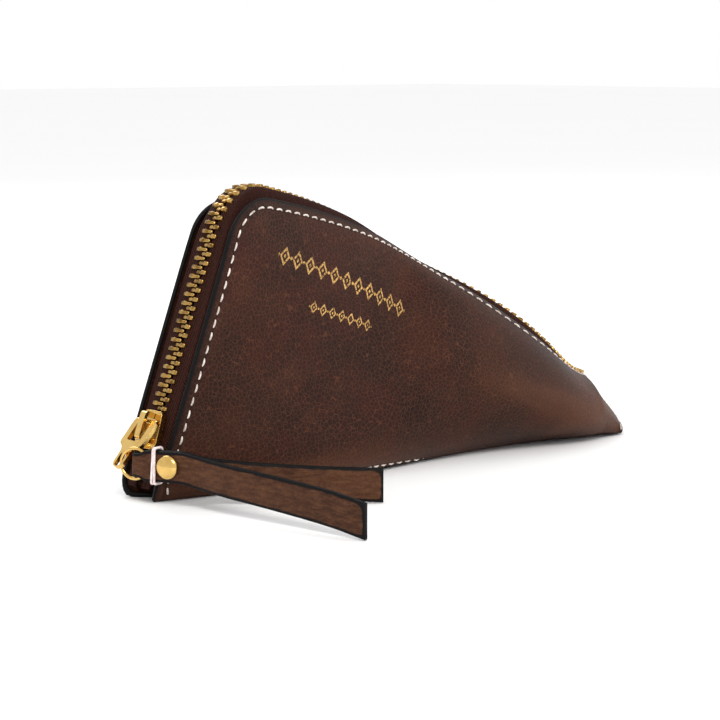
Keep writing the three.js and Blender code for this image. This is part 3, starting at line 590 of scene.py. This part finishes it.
# The cut edge's rings, as (margin in from the outline, depth below the face) from the outer face in.
EDGE_RINGS = ((0.1, 0.1), (0.0, 0.36), (0.0, LEATHER - 0.36), (0.1, LEATHER - 0.1))
BEND_FROM, BEND_RANGE, BEND_PASSES = 0.025, 0.06, 6


def corner_inset(x, radius):
    """How far a rounded corner has come in at x from the panel's end."""
    reach = np.maximum(radius - x, 0)
    return radius - np.sqrt(np.maximum(radius**2 - reach**2, 0))


def stations(margin):
    """Places along a panel, closer together in its rounded corners."""
    start, end = margin, PANEL_LENGTH - margin
    tall, low = TALL_CORNER - margin, LOW_CORNER - margin
    turn = 1 - np.cos(np.linspace(0, math.pi / 2, CORNER_COLUMNS, endpoint=False))
    middle = np.linspace(start + tall, end - low, COLUMNS)
    return np.concatenate([start + tall * turn, middle, (end - low * turn)[::-1]])


def edge_lines(s, margin):
    """The top and bottom of a panel at s, taken in by a margin."""
    inset = np.maximum(
        corner_inset(np.maximum(s - margin, 0), TALL_CORNER - margin),
        corner_inset(np.maximum(PANEL_LENGTH - s - margin, 0), LOW_CORNER - margin),
    )
    return margin + inset, panel_height(s / PANEL_LENGTH) - margin - inset


def row_shares(rows):
    """Shares from 0 to 1, closer together near both ends."""
    turn = math.pi * np.linspace(0, 1, rows)
    return 0.5 - 0.5 * np.cos(turn) * (0.75 + 0.25 * np.abs(np.cos(turn)))


def edge_distance(s, w):
    """How far a point of a panel is in from its outline."""
    height = panel_height(s / PANEL_LENGTH)
    plain = np.minimum.reduce([s, PANEL_LENGTH - s, w, height - w])
    for radius, x in ((TALL_CORNER, s), (LOW_CORNER, PANEL_LENGTH - s)):
        for y in (w, height - w):
            round_off = radius - np.hypot(radius - x, radius - y)
            plain = np.where((x < radius) & (y < radius), np.minimum(plain, round_off), plain)
    return np.maximum(plain, 0)


def panel_grid(side, margin, depth):
    """A grid over a panel at one depth, and the (s, w) of its points."""
    s = stations(margin)
    top, bottom = edge_lines(s, margin)
    bottom = bottom - SEAM_GAP
    w = top[:, None] + (bottom - top)[:, None] * row_shares(ROWS)[None]
    s = np.repeat(s[:, None], ROWS, 1)
    return panel_point(side, s.ravel(), w.ravel(), depth), s, w


def bend_of(points, shape):
    """How sharply the skin bends across its rows, 0 to 1."""
    grid = points.reshape(*shape, 3)
    steps = unit(np.diff(grid, axis=1))
    turn = np.zeros(shape)
    gap = np.linalg.norm(np.diff(grid, axis=1), axis=-1)
    turn[:, 1:-1] = np.arccos(np.clip((steps[:, 1:] * steps[:, :-1]).sum(-1), -1, 1)) / gap[:, 1:]
    for _ in range(BEND_PASSES):
        turn[:, 1:-1] = (turn[:, :-2] + 2 * turn[:, 1:-1] + turn[:, 2:]) / 4
        turn[1:-1] = (turn[:-2] + 2 * turn[1:-1] + turn[2:]) / 4
    return np.clip((turn - BEND_FROM) / BEND_RANGE, 0, 1)


def leather_panel(side, name, node, material):
    """A sheet of leather with its cut edge rounded over and painted."""
    outer, s, w = panel_grid(side, FACE_MARGIN, 0.0)
    inner, _, _ = panel_grid(side, FACE_MARGIN, LEATHER)
    shape = s.shape
    count = len(outer)
    points = [outer, inner]
    faces = grid_faces(*shape, flip=side > 0) + grid_faces(*shape, first=count, flip=side < 0)
    rim = np.array(border(*shape))
    loops = [list(rim)]
    first = 2 * count
    for margin, depth in EDGE_RINGS:
        ring = panel_grid(side, margin, depth)[0][rim]
        points.append(ring)
        loops.append(list(range(first, first + len(ring))))
        first += len(ring)
    loops.append(list(rim + count))
    for a, b in zip(loops, loops[1:]):
        faces += [f[::-1] if side > 0 else f for f in loop_faces(b, a)]
    rings = first - 2 * count
    edge = np.concatenate([edge_distance(s, w).ravel()] * 2 + [np.zeros(rings)])
    bend = np.concatenate([bend_of(outer, shape).ravel()] * 2 + [np.zeros(rings)])
    fill = np.zeros(rings)
    piece = mesh_piece(
        name, np.concatenate(points), faces, "pouch", slot="leather", replaces=(node,),
        edge=edge, bend=bend,
        along=np.concatenate([s.ravel(), s.ravel(), fill]),
        down=np.concatenate([w.ravel(), w.ravel(), fill]),
    )
    return dressed(piece, material)


leather_panel(1, "leather_front", "front_panel", FRONT_LEATHER)
leather_panel(-1, "leather_back", "back_panel", BACK_LEATHER)


# ------------------------------------------------------------------ linings
LINING_GAP, LINING_TOP, LINING_END = 0.4, 7.0, 9.0
LINING_DEPTH = LEATHER + TAPE_GAP + TAPE + LINING_GAP
LINING_ROWS, LINING_COLUMNS = 26, 70
PUCKER_DEPTH, PUCKER_ALONG, PUCKER_DOWN = 0.15, 0.55, 0.2


def lining(side, name, node):
    """A thin cloth inside a panel, puckered a little along its length."""
    rows, columns = LINING_ROWS, LINING_COLUMNS
    s = np.linspace(LINING_TOP, PANEL_LENGTH - LINING_END, columns)
    bottom = panel_height(s / PANEL_LENGTH) - 2 * SEAM_GAP
    w = LINING_TOP + (bottom - LINING_TOP)[:, None] * row_shares(rows)[None]
    s = np.repeat(s[:, None], rows, 1)
    puckers = PUCKER_DEPTH * np.abs(np.sin(s * PUCKER_ALONG + w * PUCKER_DOWN)).ravel()
    outer = panel_point(side, s.ravel(), w.ravel(), LINING_DEPTH + puckers)
    inner = panel_point(side, s.ravel(), w.ravel(), LINING_DEPTH + LINING + puckers)
    faces = grid_faces(columns, rows, flip=side > 0) + grid_faces(columns, rows, len(outer), side < 0)
    rim = border(columns, rows)
    walls = loop_faces([i + len(outer) for i in rim], rim)
    faces += [f[::-1] if side > 0 else f for f in walls]
    points = np.concatenate([outer, inner])
    dressed(mesh_piece(name, points, faces, "pouch", slot="lining", replaces=(node,)), CLOTH)


lining(1, "lining_front", "front_lining")
lining(-1, "lining_back", "back_lining")


# ------------------------------------------------------------------ stitching
ARC_STEPS, STITCH_STEPS, STITCH_SIDES, STITCH_FLOOR = 14, 9, 6, 0.02
# A stitch stands proud of the leather, but lies sunk in it where the pouch touches the table.
SUNK_BELOW, PROUD, SUNK = 1.2, THREAD_RADIUS * 0.85, -0.22
END_DEPTH, MIDDLE_SUNK = 0.42, THREAD_RADIUS * 0.35


def outline_walk(inset):
    """A function from the distance round a panel's outline to (s, w), and its whole length."""
    tall, low = TALL_CORNER - inset, LOW_CORNER - inset
    right = PANEL_LENGTH - inset
    bottom_tall = panel_height(TALL_CORNER / PANEL_LENGTH) - inset
    bottom_low = panel_height(1 - LOW_CORNER / PANEL_LENGTH) - inset
    points = [[inset, bottom_tall - tall]]

    def arc(s, w, radius, start, end):
        for angle in np.linspace(start, end, ARC_STEPS):
            points.append([s + radius * math.cos(angle), w + radius * math.sin(angle)])

    quarter = math.pi / 2
    arc(inset + tall, inset + tall, tall, 2 * quarter, 3 * quarter)
    arc(right - low, inset + low, low, 3 * quarter, 4 * quarter)
    arc(right - low, bottom_low - low, low, 0, quarter)
    arc(inset + tall, bottom_tall - tall, tall, quarter, 2 * quarter)
    points = np.array(points)
    lengths = np.concatenate([[0], np.cumsum(np.hypot(*np.diff(points, axis=0).T))])

    def at(distance):
        distance = np.mod(distance, lengths[-1])
        return np.interp(distance, lengths, points[:, 0]), np.interp(distance, lengths, points[:, 1])

    return at, lengths[-1]


def stitches(side, name, node):
    """Single stitches, each of which dives into the leather at both ends."""
    at, whole = outline_walk(STITCH_INSET)
    count = int(round(whole / STITCH_PITCH))
    pitch = whole / count
    steps = np.linspace(0, 1, STITCH_STEPS)
    middles = (np.arange(count) * pitch)[:, None] + pitch * 0.5
    distance = middles + (steps[None] - 0.5) * STITCH_LENGTH
    s, w = (a.ravel() for a in at(distance.ravel()))
    rise = np.tile(np.sin(math.pi * steps) ** 0.6, count)
    near_table = panel_point(side, s, w, 0.0)[:, 2] < SUNK_BELOW
    proud = np.where(near_table, SUNK, PROUD)
    depth = END_DEPTH - rise * (END_DEPTH + proud - MIDDLE_SUNK)
    middle = panel_point(side, s, w, depth)
    below = panel_point(side, s, w, depth + 0.5)
    inward = unit(below - middle)
    points, faces = [], []
    middle = middle.reshape(count, STITCH_STEPS, 3)
    inward = inward.reshape(count, STITCH_STEPS, 3)
    radius = THREAD_RADIUS * (0.8 + 0.2 * np.sin(math.pi * steps))
    for i in range(count):
        points.append(tube_sections(middle[i], inward[i], radius, STITCH_SIDES).reshape(-1, 3))
        faces += bar_faces(STITCH_STEPS, STITCH_SIDES, first=i * STITCH_STEPS * STITCH_SIDES)
    points = np.concatenate(points)
    points[:, 2] = np.maximum(points[:, 2], STITCH_FLOOR)
    dressed(mesh_piece(name, points, faces, "pouch", slot="thread", replaces=(node,)), THREAD)


stitches(1, "stitches_front", "front_stitching")
stitches(-1, "stitches_back", "back_stitching")


# ------------------------------------------------------------------ the zip's path
TALL_STRAIGHT = TALL_HEIGHT - TALL_CORNER
CORNER_LENGTH = math.pi / 2 * TALL_CORNER
PATH_LENGTH = TALL_STRAIGHT + CORNER_LENGTH + PANEL_LENGTH - ZIP_END_MARGIN - TALL_CORNER
STRAIGHT_START = SLIDER_HEIGHT - SLIDER_LENGTH / 2
DIRECTION_STEP = 0.6


def edge_at(q, inset=0.0):
    """(s, w) on the panel's edge at distance q up the tall end and along the top, and the top's share."""
    radius = TALL_CORNER - inset
    angle = np.clip((q - TALL_STRAIGHT) / TALL_CORNER, 0, math.pi / 2)
    up = q <= TALL_STRAIGHT
    past = q > TALL_STRAIGHT + CORNER_LENGTH
    s = TALL_CORNER - radius * np.cos(angle) + np.where(past, q - TALL_STRAIGHT - CORNER_LENGTH, 0)
    w = TALL_CORNER - radius * np.sin(angle) + np.where(up, TALL_STRAIGHT - q, 0)
    return s, w, np.sin(angle)


def strip_middle(q):
    """The middle between the panels' edges at q, the direction across, and the strip's crown above it."""
    s, w, share = edge_at(q)
    front, back = panel_point(1, s, w, 0.0), panel_point(-1, s, w, 0.0)
    u = s / PANEL_LENGTH
    crown = skin(u, -through(ZIP_SHIFT, u), 0.0)
    top = (panel_point(1, s, 0 * w, 0.0) + panel_point(-1, s, 0 * w, 0.0)) / 2
    rise = np.linalg.norm(crown - top, axis=1) * share**2
    return (front + back) / 2, unit(front - back), rise


def zip_frames(q):
    """The chain's middle, and its directions across to the front, along and outwards."""
    q = np.atleast_1d(np.asarray(q, float))
    middle, across, rise = strip_middle(q)
    before = strip_middle(np.maximum(q - DIRECTION_STEP, 0))[0]
    after = strip_middle(np.minimum(q + DIRECTION_STEP, PATH_LENGTH))[0]
    along = unit(after - before)
    out = unit(np.cross(across, along))
    across = unit(np.cross(along, out))
    return middle + out * (rise - CHAIN_DEPTH)[:, None], across, along, out


# ------------------------------------------------------------------ zip tapes
TAPE_STATIONS, TAPE_END_MARGIN = 190, 3.0
CORD_FROM, CORD_TO, CORD_SWELL = 1.5, 2.4, 1.5
# The back panel's edge turns in further at the low end, so its tape folds later.
FOLD_INSET_FRONT, FOLD_INSET_BACK = 0.0, 0.7
FINER_SHARES = (0.0, 0.34, 0.67)


def eased(columns):
    """A grid from its columns, with finer ones between them and the fold rounded."""
    finer = []
    for a, b in zip(columns, columns[1:]):
        finer += [a * (1 - f) + b * f for f in FINER_SHARES]
    grid = np.stack(finer + [columns[-1]], 1)
    for _ in range(2):
        grid[:, 7:-4] = (grid[:, 6:-5] + 2 * grid[:, 7:-4] + grid[:, 8:-3]) / 4
    return grid


def travelled(points, axis):
    """The distance from the first point of each line of a grid, along an axis."""
    steps = np.linalg.norm(np.diff(points, axis=axis), axis=-1)
    start = np.zeros_like(np.take(steps, [0], axis=axis))
    return np.concatenate([start, np.cumsum(steps, axis=axis)], axis=axis)


def zip_tape(side, name, node):
    """A woven tape: corded edge at the teeth, flat beside them, folded in under the leather."""
    q = np.linspace(TAPE_START, PATH_LENGTH - TAPE_END_MARGIN, TAPE_STATIONS)
    middle, across, _, out = zip_frames(q)
    inner = ROW_SPACING / 2 + TOOTH_REACH + TOUCH_GAP
    s0, w0, _ = edge_at(q)
    room = np.abs(dot(panel_point(side, s0, w0, 0.0) - middle, across))[:, 0] - FOLD_ROOM
    flat = np.maximum(inner + 0.15, np.minimum(TAPE_FLAT, room))
    outer_depth = LEATHER + TAPE_GAP
    first_inset = FOLD_INSET_FRONT if side > 0 else FOLD_INSET_BACK

    def layer(face):
        lift = face * TAPE / 2
        columns = []
        for e, swell in ((CORD_FROM, CORD_SWELL), (CORD_TO, CORD_SWELL), (inner, 1.0)):
            columns.append(middle + across * side * e + out * lift * swell)
        columns.append(middle + across * side * flat[:, None] + out * lift)
        for inset in (first_inset, TAPE_UNDER / 3, TAPE_UNDER):
            s, w, _ = edge_at(q, inset)
            depth = outer_depth + (0 if face > 0 else TAPE)
            columns.append(panel_point(side, s, w, depth))
        return eased(columns)

    top, bottom = layer(1), layer(-1)
    rows, columns = top.shape[:2]
    distance = travelled(top, 1)
    travel = np.repeat(travelled(middle, 0)[:, None], columns, 1)
    count = rows * columns
    flip = side > 0
    faces = grid_faces(rows, columns, flip=not flip) + grid_faces(rows, columns, count, flip)
    rim = border(rows, columns)
    walls = loop_faces([i + count for i in rim], rim)
    faces += [f if flip else f[::-1] for f in walls]
    points = np.concatenate([top.reshape(-1, 3), bottom.reshape(-1, 3)])
    piece = mesh_piece(
        name, points, faces, "pouch", slot="zip_tape", replaces=(node,),
        along=np.tile(travel.ravel(), 2), across=np.tile(distance.ravel() * side, 2),
    )
    dressed(piece, TWILL)


zip_tape(1, "tape_front", "zip_tape_front")
zip_tape(-1, "tape_back", "zip_tape_back")


# ------------------------------------------------------------------ zip teeth
TOOTH_PROFILE = [
    # distance from the chain's middle, half width along the zip, half height, roundness
    (3.28, 0.38, 0.85, 0.25),
    (3.12, 0.58, 1.16, 0.22),
    (1.75, 0.62, 1.25, 0.2),
    (1.35, 0.6, 1.16, 0.2),
    (1.05, 0.47, 0.98, 0.2),
    (0.35, 0.46, 0.95, 0.2),
    (-0.35, 0.52, 1.0, 0.2),
    (-0.72, 0.44, 0.86, 0.24),
    (-0.86, 0.26, 0.6, 0.2),
]


TOOTH_CORNER_SHARES = (0, 0.5, 1)
FIRST_TOOTH, TEETH_END_MARGIN = 1.55, 1.2
# Inside the slider the two rows still stand apart.
PARTED_BELOW, PARTED_OVER, PARTED_BY = SLIDER_HEIGHT + 3.5, 5.0, 1.2


def tooth_shape():
    """One tooth as (across, along, outwards) points and faces: legs that clamp the cord, neck and nose."""
    points = []
    for e, half_along, half_out, roundness in TOOTH_PROFILE:
        radius = min(roundness, half_along * 0.9)
        ring = rounded_rectangle(half_along, half_out, radius, TOOTH_CORNER_SHARES)
        points += [(e, a, n) for a, n, _ in ring]
    return np.array(points), bar_faces(len(TOOTH_PROFILE), 4 * len(TOOTH_CORNER_SHARES))


def teeth_row(side, name, node):
    """Every tooth of one row, each a closed body. The back row is half a pitch further on."""
    shape, tooth_faces = tooth_shape()
    first = STRAIGHT_START + FIRST_TOOTH + (0 if side > 0 else TOOTH_PITCH / 2)
    q = np.arange(first, PATH_LENGTH - STOP_LENGTH - TEETH_END_MARGIN, TOOTH_PITCH)
    middle, across, along, out = zip_frames(q)
    part = np.clip((PARTED_BELOW - q) / PARTED_OVER, 0, 1) * PARTED_BY
    points, faces = [], []
    for i in range(len(q)):
        e = (shape[:, :1] + part[i]) * side
        points.append(middle[i] + across[i] * e + along[i] * shape[:, 1:2] + out[i] * shape[:, 2:])
        step = i * len(shape)
        faces += [[k + step for k in (f if side > 0 else f[::-1])] for f in tooth_faces]
    points = np.concatenate(points)
    dressed(mesh_piece(name, points, faces, "pouch", slot="brass_teeth", replaces=(node,)), BRASS)


teeth_row(1, "teeth_front", "zip_teeth_front")
teeth_row(-1, "teeth_back", "zip_teeth_back")


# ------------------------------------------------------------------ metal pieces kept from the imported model
WELD_METRES, FLAT_DEGREES, SHARP_DEGREES, BEVEL_SEGMENTS = 2e-6, 2, 32, 3


def refined(node, name, body, material, bevel):
    """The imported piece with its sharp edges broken."""
    mesh = frame["nodes"][node].data.copy()
    mesh.name = name
    piece = bpy.data.objects.new(name, mesh)
    bpy.context.scene.collection.objects.link(piece)
    weld = piece.modifiers.new("weld", "WELD")
    weld.merge_threshold = WELD_METRES
    flat = piece.modifiers.new("flats", "DECIMATE")
    flat.decimate_type = "DISSOLVE"
    flat.angle_limit = math.radians(FLAT_DEGREES)
    edges = piece.modifiers.new("broken_edges", "BEVEL")
    edges.width = bevel * MM
    edges.segments = BEVEL_SEGMENTS
    edges.limit_method = "ANGLE"
    edges.angle_limit = math.radians(SHARP_DEGREES)
    edges.harden_normals = False
    mesh.polygons.foreach_set("use_smooth", [True] * len(mesh.polygons))
    normals = piece.modifiers.new("normals", "WEIGHTED_NORMAL")
    normals.keep_sharp = True
    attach(piece, body)
    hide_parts(node)
    dressed(piece, material)


refined("slider_body", "slider_plates", "slider", GOLD, 0.25)
refined("slider_bridge", "slider_arch", "slider", GOLD, 0.28)
refined("slider_lock_spring", "lock_spring", "slider", STEEL, 0.06)
refined("pull_tab", "tab_plate", "tab", GOLD, 0.2)
refined("top_stop_front", "top_stop_near", "pouch", BRASS, 0.4)
refined("top_stop_back", "top_stop_far", "pouch", BRASS, 0.4)
refined("bottom_stop", "end_stop", "pouch", BRASS, 0.4)


# ------------------------------------------------------------------ ring, strap, rivet and thread
RING_RADIUS, WIRE, RING_TURN, RING_LEAN, RING_HANG = 4.2, 0.5, 68.0, 4.0, 10.0
STRAP, FOLD_DISTANCE, THREAD_DISTANCE, RIVET_DISTANCE = 1.3, 1.7, 7.2, 11.5
STRAP_IN_RING, STRAP_AT_RIVET, STRAP_AT_END = 6.5, 8.5, 9.8
RIVET_CAP, RIVET_POST = 3.3, 1.0

SLOT_PLACE = np.array(joints["ring_hinge"]["pos_m"]) * 1000
turned = math.radians(RING_TURN)
RING_RIGHT = np.array([math.cos(turned), -math.sin(turned), 0.0])
RING_INWARD = np.array([math.sin(turned), math.cos(turned), 0.0])
UPRIGHT = np.array([0.0, 0.0, 1.0])
ring_lean = math.radians(RING_LEAN)
RING_UP = math.cos(ring_lean) * UPRIGHT + math.sin(ring_lean) * RING_INWARD
RING_AXIS = np.cross(RING_RIGHT, RING_UP)
hang = math.radians(RING_HANG)
RING_CENTRE = SLOT_PLACE + RING_RADIUS * (RING_RIGHT * math.cos(hang) - RING_UP * math.sin(hang))
RING_SEGMENTS, WIRE_SIDES, RIVET_SEGMENTS = 72, 14, 40


def ring_directions(segments):
    """Directions outwards round the ring's axis, which is the rivet's as well."""
    turn = np.linspace(0, 2 * math.pi, segments, endpoint=False)
    return np.cos(turn)[:, None] * RING_RIGHT + np.sin(turn)[:, None] * RING_UP


def round_ring():
    outwards = ring_directions(RING_SEGMENTS)
    path = RING_CENTRE + RING_RADIUS * outwards
    rings = tube_sections(path, outwards, WIRE, WIRE_SIDES, closed=True)
    dressed(swept("split_ring", rings, "ring", closed=True, slot="gold_metal", replaces=("pull_ring",)), GOLD)


round_ring()


def curve_through(points, spacing):
    """Evenly spaced points on a smooth curve through the given ones."""
    p = np.asarray(points, float)
    p = np.concatenate([[2 * p[0] - p[1]], p, [2 * p[-1] - p[-2]]])
    path = []
    for i in range(1, len(p) - 2):
        knots = np.cumsum([0.0] + [np.linalg.norm(p[i + k] - p[i + k - 1]) ** 0.5 for k in (0, 1, 2)])
        for t in np.linspace(knots[1], knots[2], 60, endpoint=False):
            a = [
                ((knots[k + 1] - t) * p[i - 1 + k] + (t - knots[k]) * p[i + k]) / (knots[k + 1] - knots[k])
                for k in range(3)
            ]
            b = [
                ((knots[k + 2] - t) * a[k] + (t - knots[k]) * a[k + 1]) / (knots[k + 2] - knots[k])
                for k in range(2)
            ]
            path.append(((knots[2] - t) * b[0] + (t - knots[1]) * b[1]) / (knots[2] - knots[1]))
    path.append(p[-2])
    path = np.array(path)
    lengths = np.concatenate([[0], np.cumsum(np.linalg.norm(np.diff(path, axis=0), axis=1))])
    count = max(2, int(round(lengths[-1] / spacing)))
    at = np.linspace(0, lengths[-1], count + 1)
    return np.stack([np.interp(at, lengths, path[:, k]) for k in range(3)], 1), at


# The strap's two layers, as (distance from the fold, how far each is to its side).
LAYER_APART = STRAP / 2 + TOUCH_GAP / 2
LAYER_AT_RING = WIRE + TOUCH_GAP + STRAP / 2
LAYER_RUN = [
    (0.0, LAYER_AT_RING),
    (2.2, LAYER_AT_RING),
    (3.9, LAYER_AT_RING),
    (THREAD_DISTANCE - FOLD_DISTANCE, LAYER_APART + 0.1),
    (RIVET_DISTANCE - FOLD_DISTANCE, LAYER_APART),
    (RIVET_DISTANCE - FOLD_DISTANCE + RIVET_CAP + 1, LAYER_APART),
]
# The two tails beyond the rivet, from the pouch's foot, down to rest on the table.
NEAR_TAIL = [(4.3, -24, 10.4), (5.2, -35, 9.6), (7, -47, 8.8), (10.4, -71, 6.8), (12.2, -82, 5.0)]
BACK_TAIL = [(8.5, -20, 9.6), (18, -27, 7.8), (34, -39, 6), (48.5, -50.4, 5.0)]
RING_PART, TAIL_WIDEN, STRAP_STEP, STRAP_FLOOR, FOLD_STEPS = 3.0, 70.0, 0.8, 0.1, 16
FOLD_CENTRE = RING_CENTRE + RING_RIGHT * FOLD_DISTANCE
RIVET_CENTRE = RING_CENTRE + RING_RIGHT * RIVET_DISTANCE


def strap_half_width(distance):
    """Half the strap's width: narrow through the ring, wider at the rivet and widest at its ends."""
    ease = np.clip(distance / RING_PART, 0, 1)
    ease = ease**2 * (3 - 2 * ease)
    tail = np.clip((distance - RING_PART) / TAIL_WIDEN, 0, 1)
    wider, widest = STRAP_AT_RIVET - STRAP_IN_RING, STRAP_AT_END - STRAP_AT_RIVET
    return (STRAP_IN_RING + wider * ease + widest * tail) / 2


def strap_layer(side, tail):
    shared = [FOLD_CENTRE + RING_RIGHT * d + RING_INWARD * side * apart for d, apart in LAYER_RUN]
    return curve_through(shared + [np.array(p) + FOOT for p in tail], STRAP_STEP)


def strap_path():
    """The strip's middle line from the near tail round the fold to the back tail."""
    near, near_at = strap_layer(-1, NEAR_TAIL)
    back, back_at = strap_layer(1, BACK_TAIL)
    angle = -math.pi / 2 - math.pi * np.linspace(0, 1, FOLD_STEPS)[1:-1]
    fold = FOLD_CENTRE + LAYER_AT_RING * (
        np.cos(angle)[:, None] * RING_RIGHT + np.sin(angle)[:, None] * RING_INWARD
    )
    points = np.concatenate([near[::-1], fold, back])
    distance = np.concatenate([near_at[::-1], np.zeros(len(fold)), back_at])
    points[:, 2] = np.maximum(points[:, 2], STRAP_FLOOR + strap_half_width(distance))
    return points, distance


STRAP_PROFILE = [
    # across the width (-1 to 1), through the thickness (-1 to 1)
    (-0.94, -1), (-0.5, -1), (0, -1), (0.5, -1), (0.94, -1), (0.985, -0.8), (1, -0.4),
    (1, 0.4), (0.985, 0.8), (0.94, 1), (0.5, 1), (0, 1), (-0.5, 1), (-0.94, 1), (-0.985, 0.8),
    (-1, 0.4), (-1, -0.4), (-0.985, -0.8),
]
FACE_SHARE = 0.93


def pull_strap():
    """The folded strip, standing on edge, with its distance in from the cut edge at each point."""
    points, distance = strap_path()
    along = np.gradient(points, axis=0)
    along[:, 2] = 0
    along = unit(along)
    normal = np.stack([along[:, 1], -along[:, 0], 0 * along[:, 0]], 1)
    lean = np.radians(RING_LEAN * (1 - np.clip(distance / TAIL_WIDEN, 0, 1)))[:, None]
    up = np.cos(lean) * UPRIGHT + np.sin(lean) * RING_INWARD
    half = strap_half_width(distance)
    sections, edge = [], []
    for i in range(len(points)):
        end_gap = min(i, len(points) - 1 - i) * STRAP_STEP
        section = []
        for u, n in STRAP_PROFILE:
            section.append(points[i] + up[i] * half[i] * u + normal[i] * STRAP / 2 * n)
            edge.append(min(half[i] * (1 - abs(u)), end_gap) if abs(u) < FACE_SHARE else 0.0)
        sections.append(section)
    piece = swept("strap_strip", sections, "strap", slot="strap_leather", replaces=("pull_strap",), edge=edge)
    dressed(piece, STRAP_LEATHER)


pull_strap()


def turned_piece(name, profile, node):
    """A profile of (radius, height along the rivet) turned round the rivet's axis."""
    outwards = ring_directions(RIVET_SEGMENTS)
    sections = [RIVET_CENTRE + RING_AXIS * h + r * outwards for r, h in profile]
    dressed(swept(name, sections, "strap", slot="gold_metal", replaces=(node,)), GOLD)


# How far the rivet's heads stand from the middle of the two layers.
CAP_FOOT = STRAP + TOUCH_GAP + 0.05
DOME_STEPS, DOME_FOOT, DOME_RISE, PIN_HOLE = 12, 0.35, 1.35, 0.2
dome_turn = np.linspace(0, math.pi / 2 - 0.04, DOME_STEPS)
dome = [(RIVET_CAP * math.cos(a), CAP_FOOT + DOME_FOOT + DOME_RISE * math.sin(a)) for a in dome_turn]
cap_rim = [(PIN_HOLE, 0.0), (RIVET_CAP - 0.3, 0.0), (RIVET_CAP - 0.05, 0.1)]
turned_piece("rivet_dome", [(r, CAP_FOOT + h) for r, h in cap_rim] + dome, "rivet_cap")

lower_head = [(PIN_HOLE, 1.1), (2.0, 1.0), (2.6, 0.7), (2.75, 0.4), (2.6, 0.1), (RIVET_POST, 0.0)]
post_top = [(RIVET_POST, CAP_FOOT - 0.1), (PIN_HOLE, CAP_FOOT - 0.1)]
turned_piece("rivet_stud", [(r, -CAP_FOOT - h) for r, h in lower_head] + post_top, "rivet_post")


# The thread's two turns, as (name, place beside their middle, how far the turn leans, node).
THREAD_TURNS = [
    ("bound_thread", -0.34, 0.16, ("strap_thread",)),
    ("bound_thread_second", 0.34, -0.1, ()),
]
BOUND_RADIUS, BOUND_CORNER, BOUND_SIDES = 0.36, 0.7, 8


def bound_thread():
    """Two turns of thread side by side, drawn over the strap's edges."""
    half_up = strap_half_width(THREAD_DISTANCE) + TOUCH_GAP + 0.32
    half_out = LAYER_APART + 0.1 + STRAP / 2 + TOUCH_GAP + 0.3
    outline = rounded_rectangle(half_out, half_up, BOUND_CORNER, np.linspace(0, 1, 7))
    for name, turn_at, lean, nodes in THREAD_TURNS:
        path, normals = [], []
        for x, y, angle in outline:
            centre = RING_CENTRE + RING_RIGHT * (THREAD_DISTANCE + turn_at + lean * y / half_up)
            path.append(centre + RING_AXIS * x + RING_UP * y)
            normals.append(RING_AXIS * math.cos(angle) + RING_UP * math.sin(angle))
        rings = tube_sections(path, normals, BOUND_RADIUS, BOUND_SIDES, closed=True)
        dressed(swept(name, rings, "strap", closed=True, slot="thread", replaces=nodes), STRAP_THREAD)


bound_thread()


# ------------------------------------------------------------------ floor, lights and camera
FLOOR_REACH, FLOOR_DROP = 6.0, 0.0001
LAMPS = [
    # name, place and size in metres, watts, tint
    ("key", (-0.55, -0.75, 0.85), 0.4, 7.0, (1, 0.98, 0.95)),
    ("fill", (0.7, -0.7, 0.5), 0.7, 2.0, (0.96, 0.98, 1)),
    ("back", (0.2, 0.8, 0.8), 0.6, 4.0, (1, 1, 1)),
]
LAMPS_AIM = Vector((0, 0, 0.03))


def studio():
    """A pale floor in a soft white room with three soft lamps."""
    floor_mesh = bpy.data.meshes.new("floor")
    corners = [(x * FLOOR_REACH, y * FLOOR_REACH, 0) for x, y in ((-1, -1), (1, -1), (1, 1), (-1, 1))]
    floor_mesh.from_pydata(corners, [], [[0, 1, 2, 3]])
    floor = bpy.data.objects.new("floor", floor_mesh)
    bpy.context.scene.collection.objects.link(floor)
    floor.location.z = -FLOOR_DROP
    m = Mat("pale_floor", Roughness=0.9)
    m.set(Base_Color=m.mix(m.noise(3, 2, 0.5), (0.93, 0.93, 0.93, 1), (0.95, 0.95, 0.95, 1)))
    floor_mesh.materials.append(m.material)
    world = bpy.data.worlds.new("soft_room")
    bpy.context.scene.world = world
    world.use_nodes = True
    background = next(n for n in world.node_tree.nodes if n.type == "BACKGROUND")
    background.inputs["Color"].default_value = (1, 1, 1, 1)
    background.inputs["Strength"].default_value = 1.0
    for name, place, size, power, tint in LAMPS:
        lamp = bpy.data.lights.new(name, "AREA")
        lamp.shape, lamp.size, lamp.energy, lamp.color = "DISK", size, power, tint
        lit = bpy.data.objects.new(name, lamp)
        bpy.context.scene.collection.objects.link(lit)
        lit.location = place
        lit.rotation_mode = "QUATERNION"
        lit.rotation_quaternion = (LAMPS_AIM - Vector(place)).to_track_quat("-Z", "Y")


CAMERA_FROM_FOOT = np.array([-364.2, -483.0, 123.7])
CAMERA_LOOKS = Vector((0.6758, 0.7239, -0.1385))
LENS, SENSOR_WIDTH = 109.5, 36.0


def camera():
    data = bpy.data.cameras.new("camera")
    data.lens, data.sensor_width = LENS, SENSOR_WIDTH
    data.clip_start, data.clip_end = 0.01, 50.0
    cam = bpy.data.objects.new("camera", data)
    bpy.context.scene.collection.objects.link(cam)
    cam.location = (CAMERA_FROM_FOOT + FOOT) * MM
    cam.rotation_mode = "QUATERNION"
    cam.rotation_quaternion = CAMERA_LOOKS.to_track_quat("-Z", "Y")
    bpy.context.scene.camera = cam


studio()
camera()
bpy.context.scene.view_settings.view_transform = "Standard"
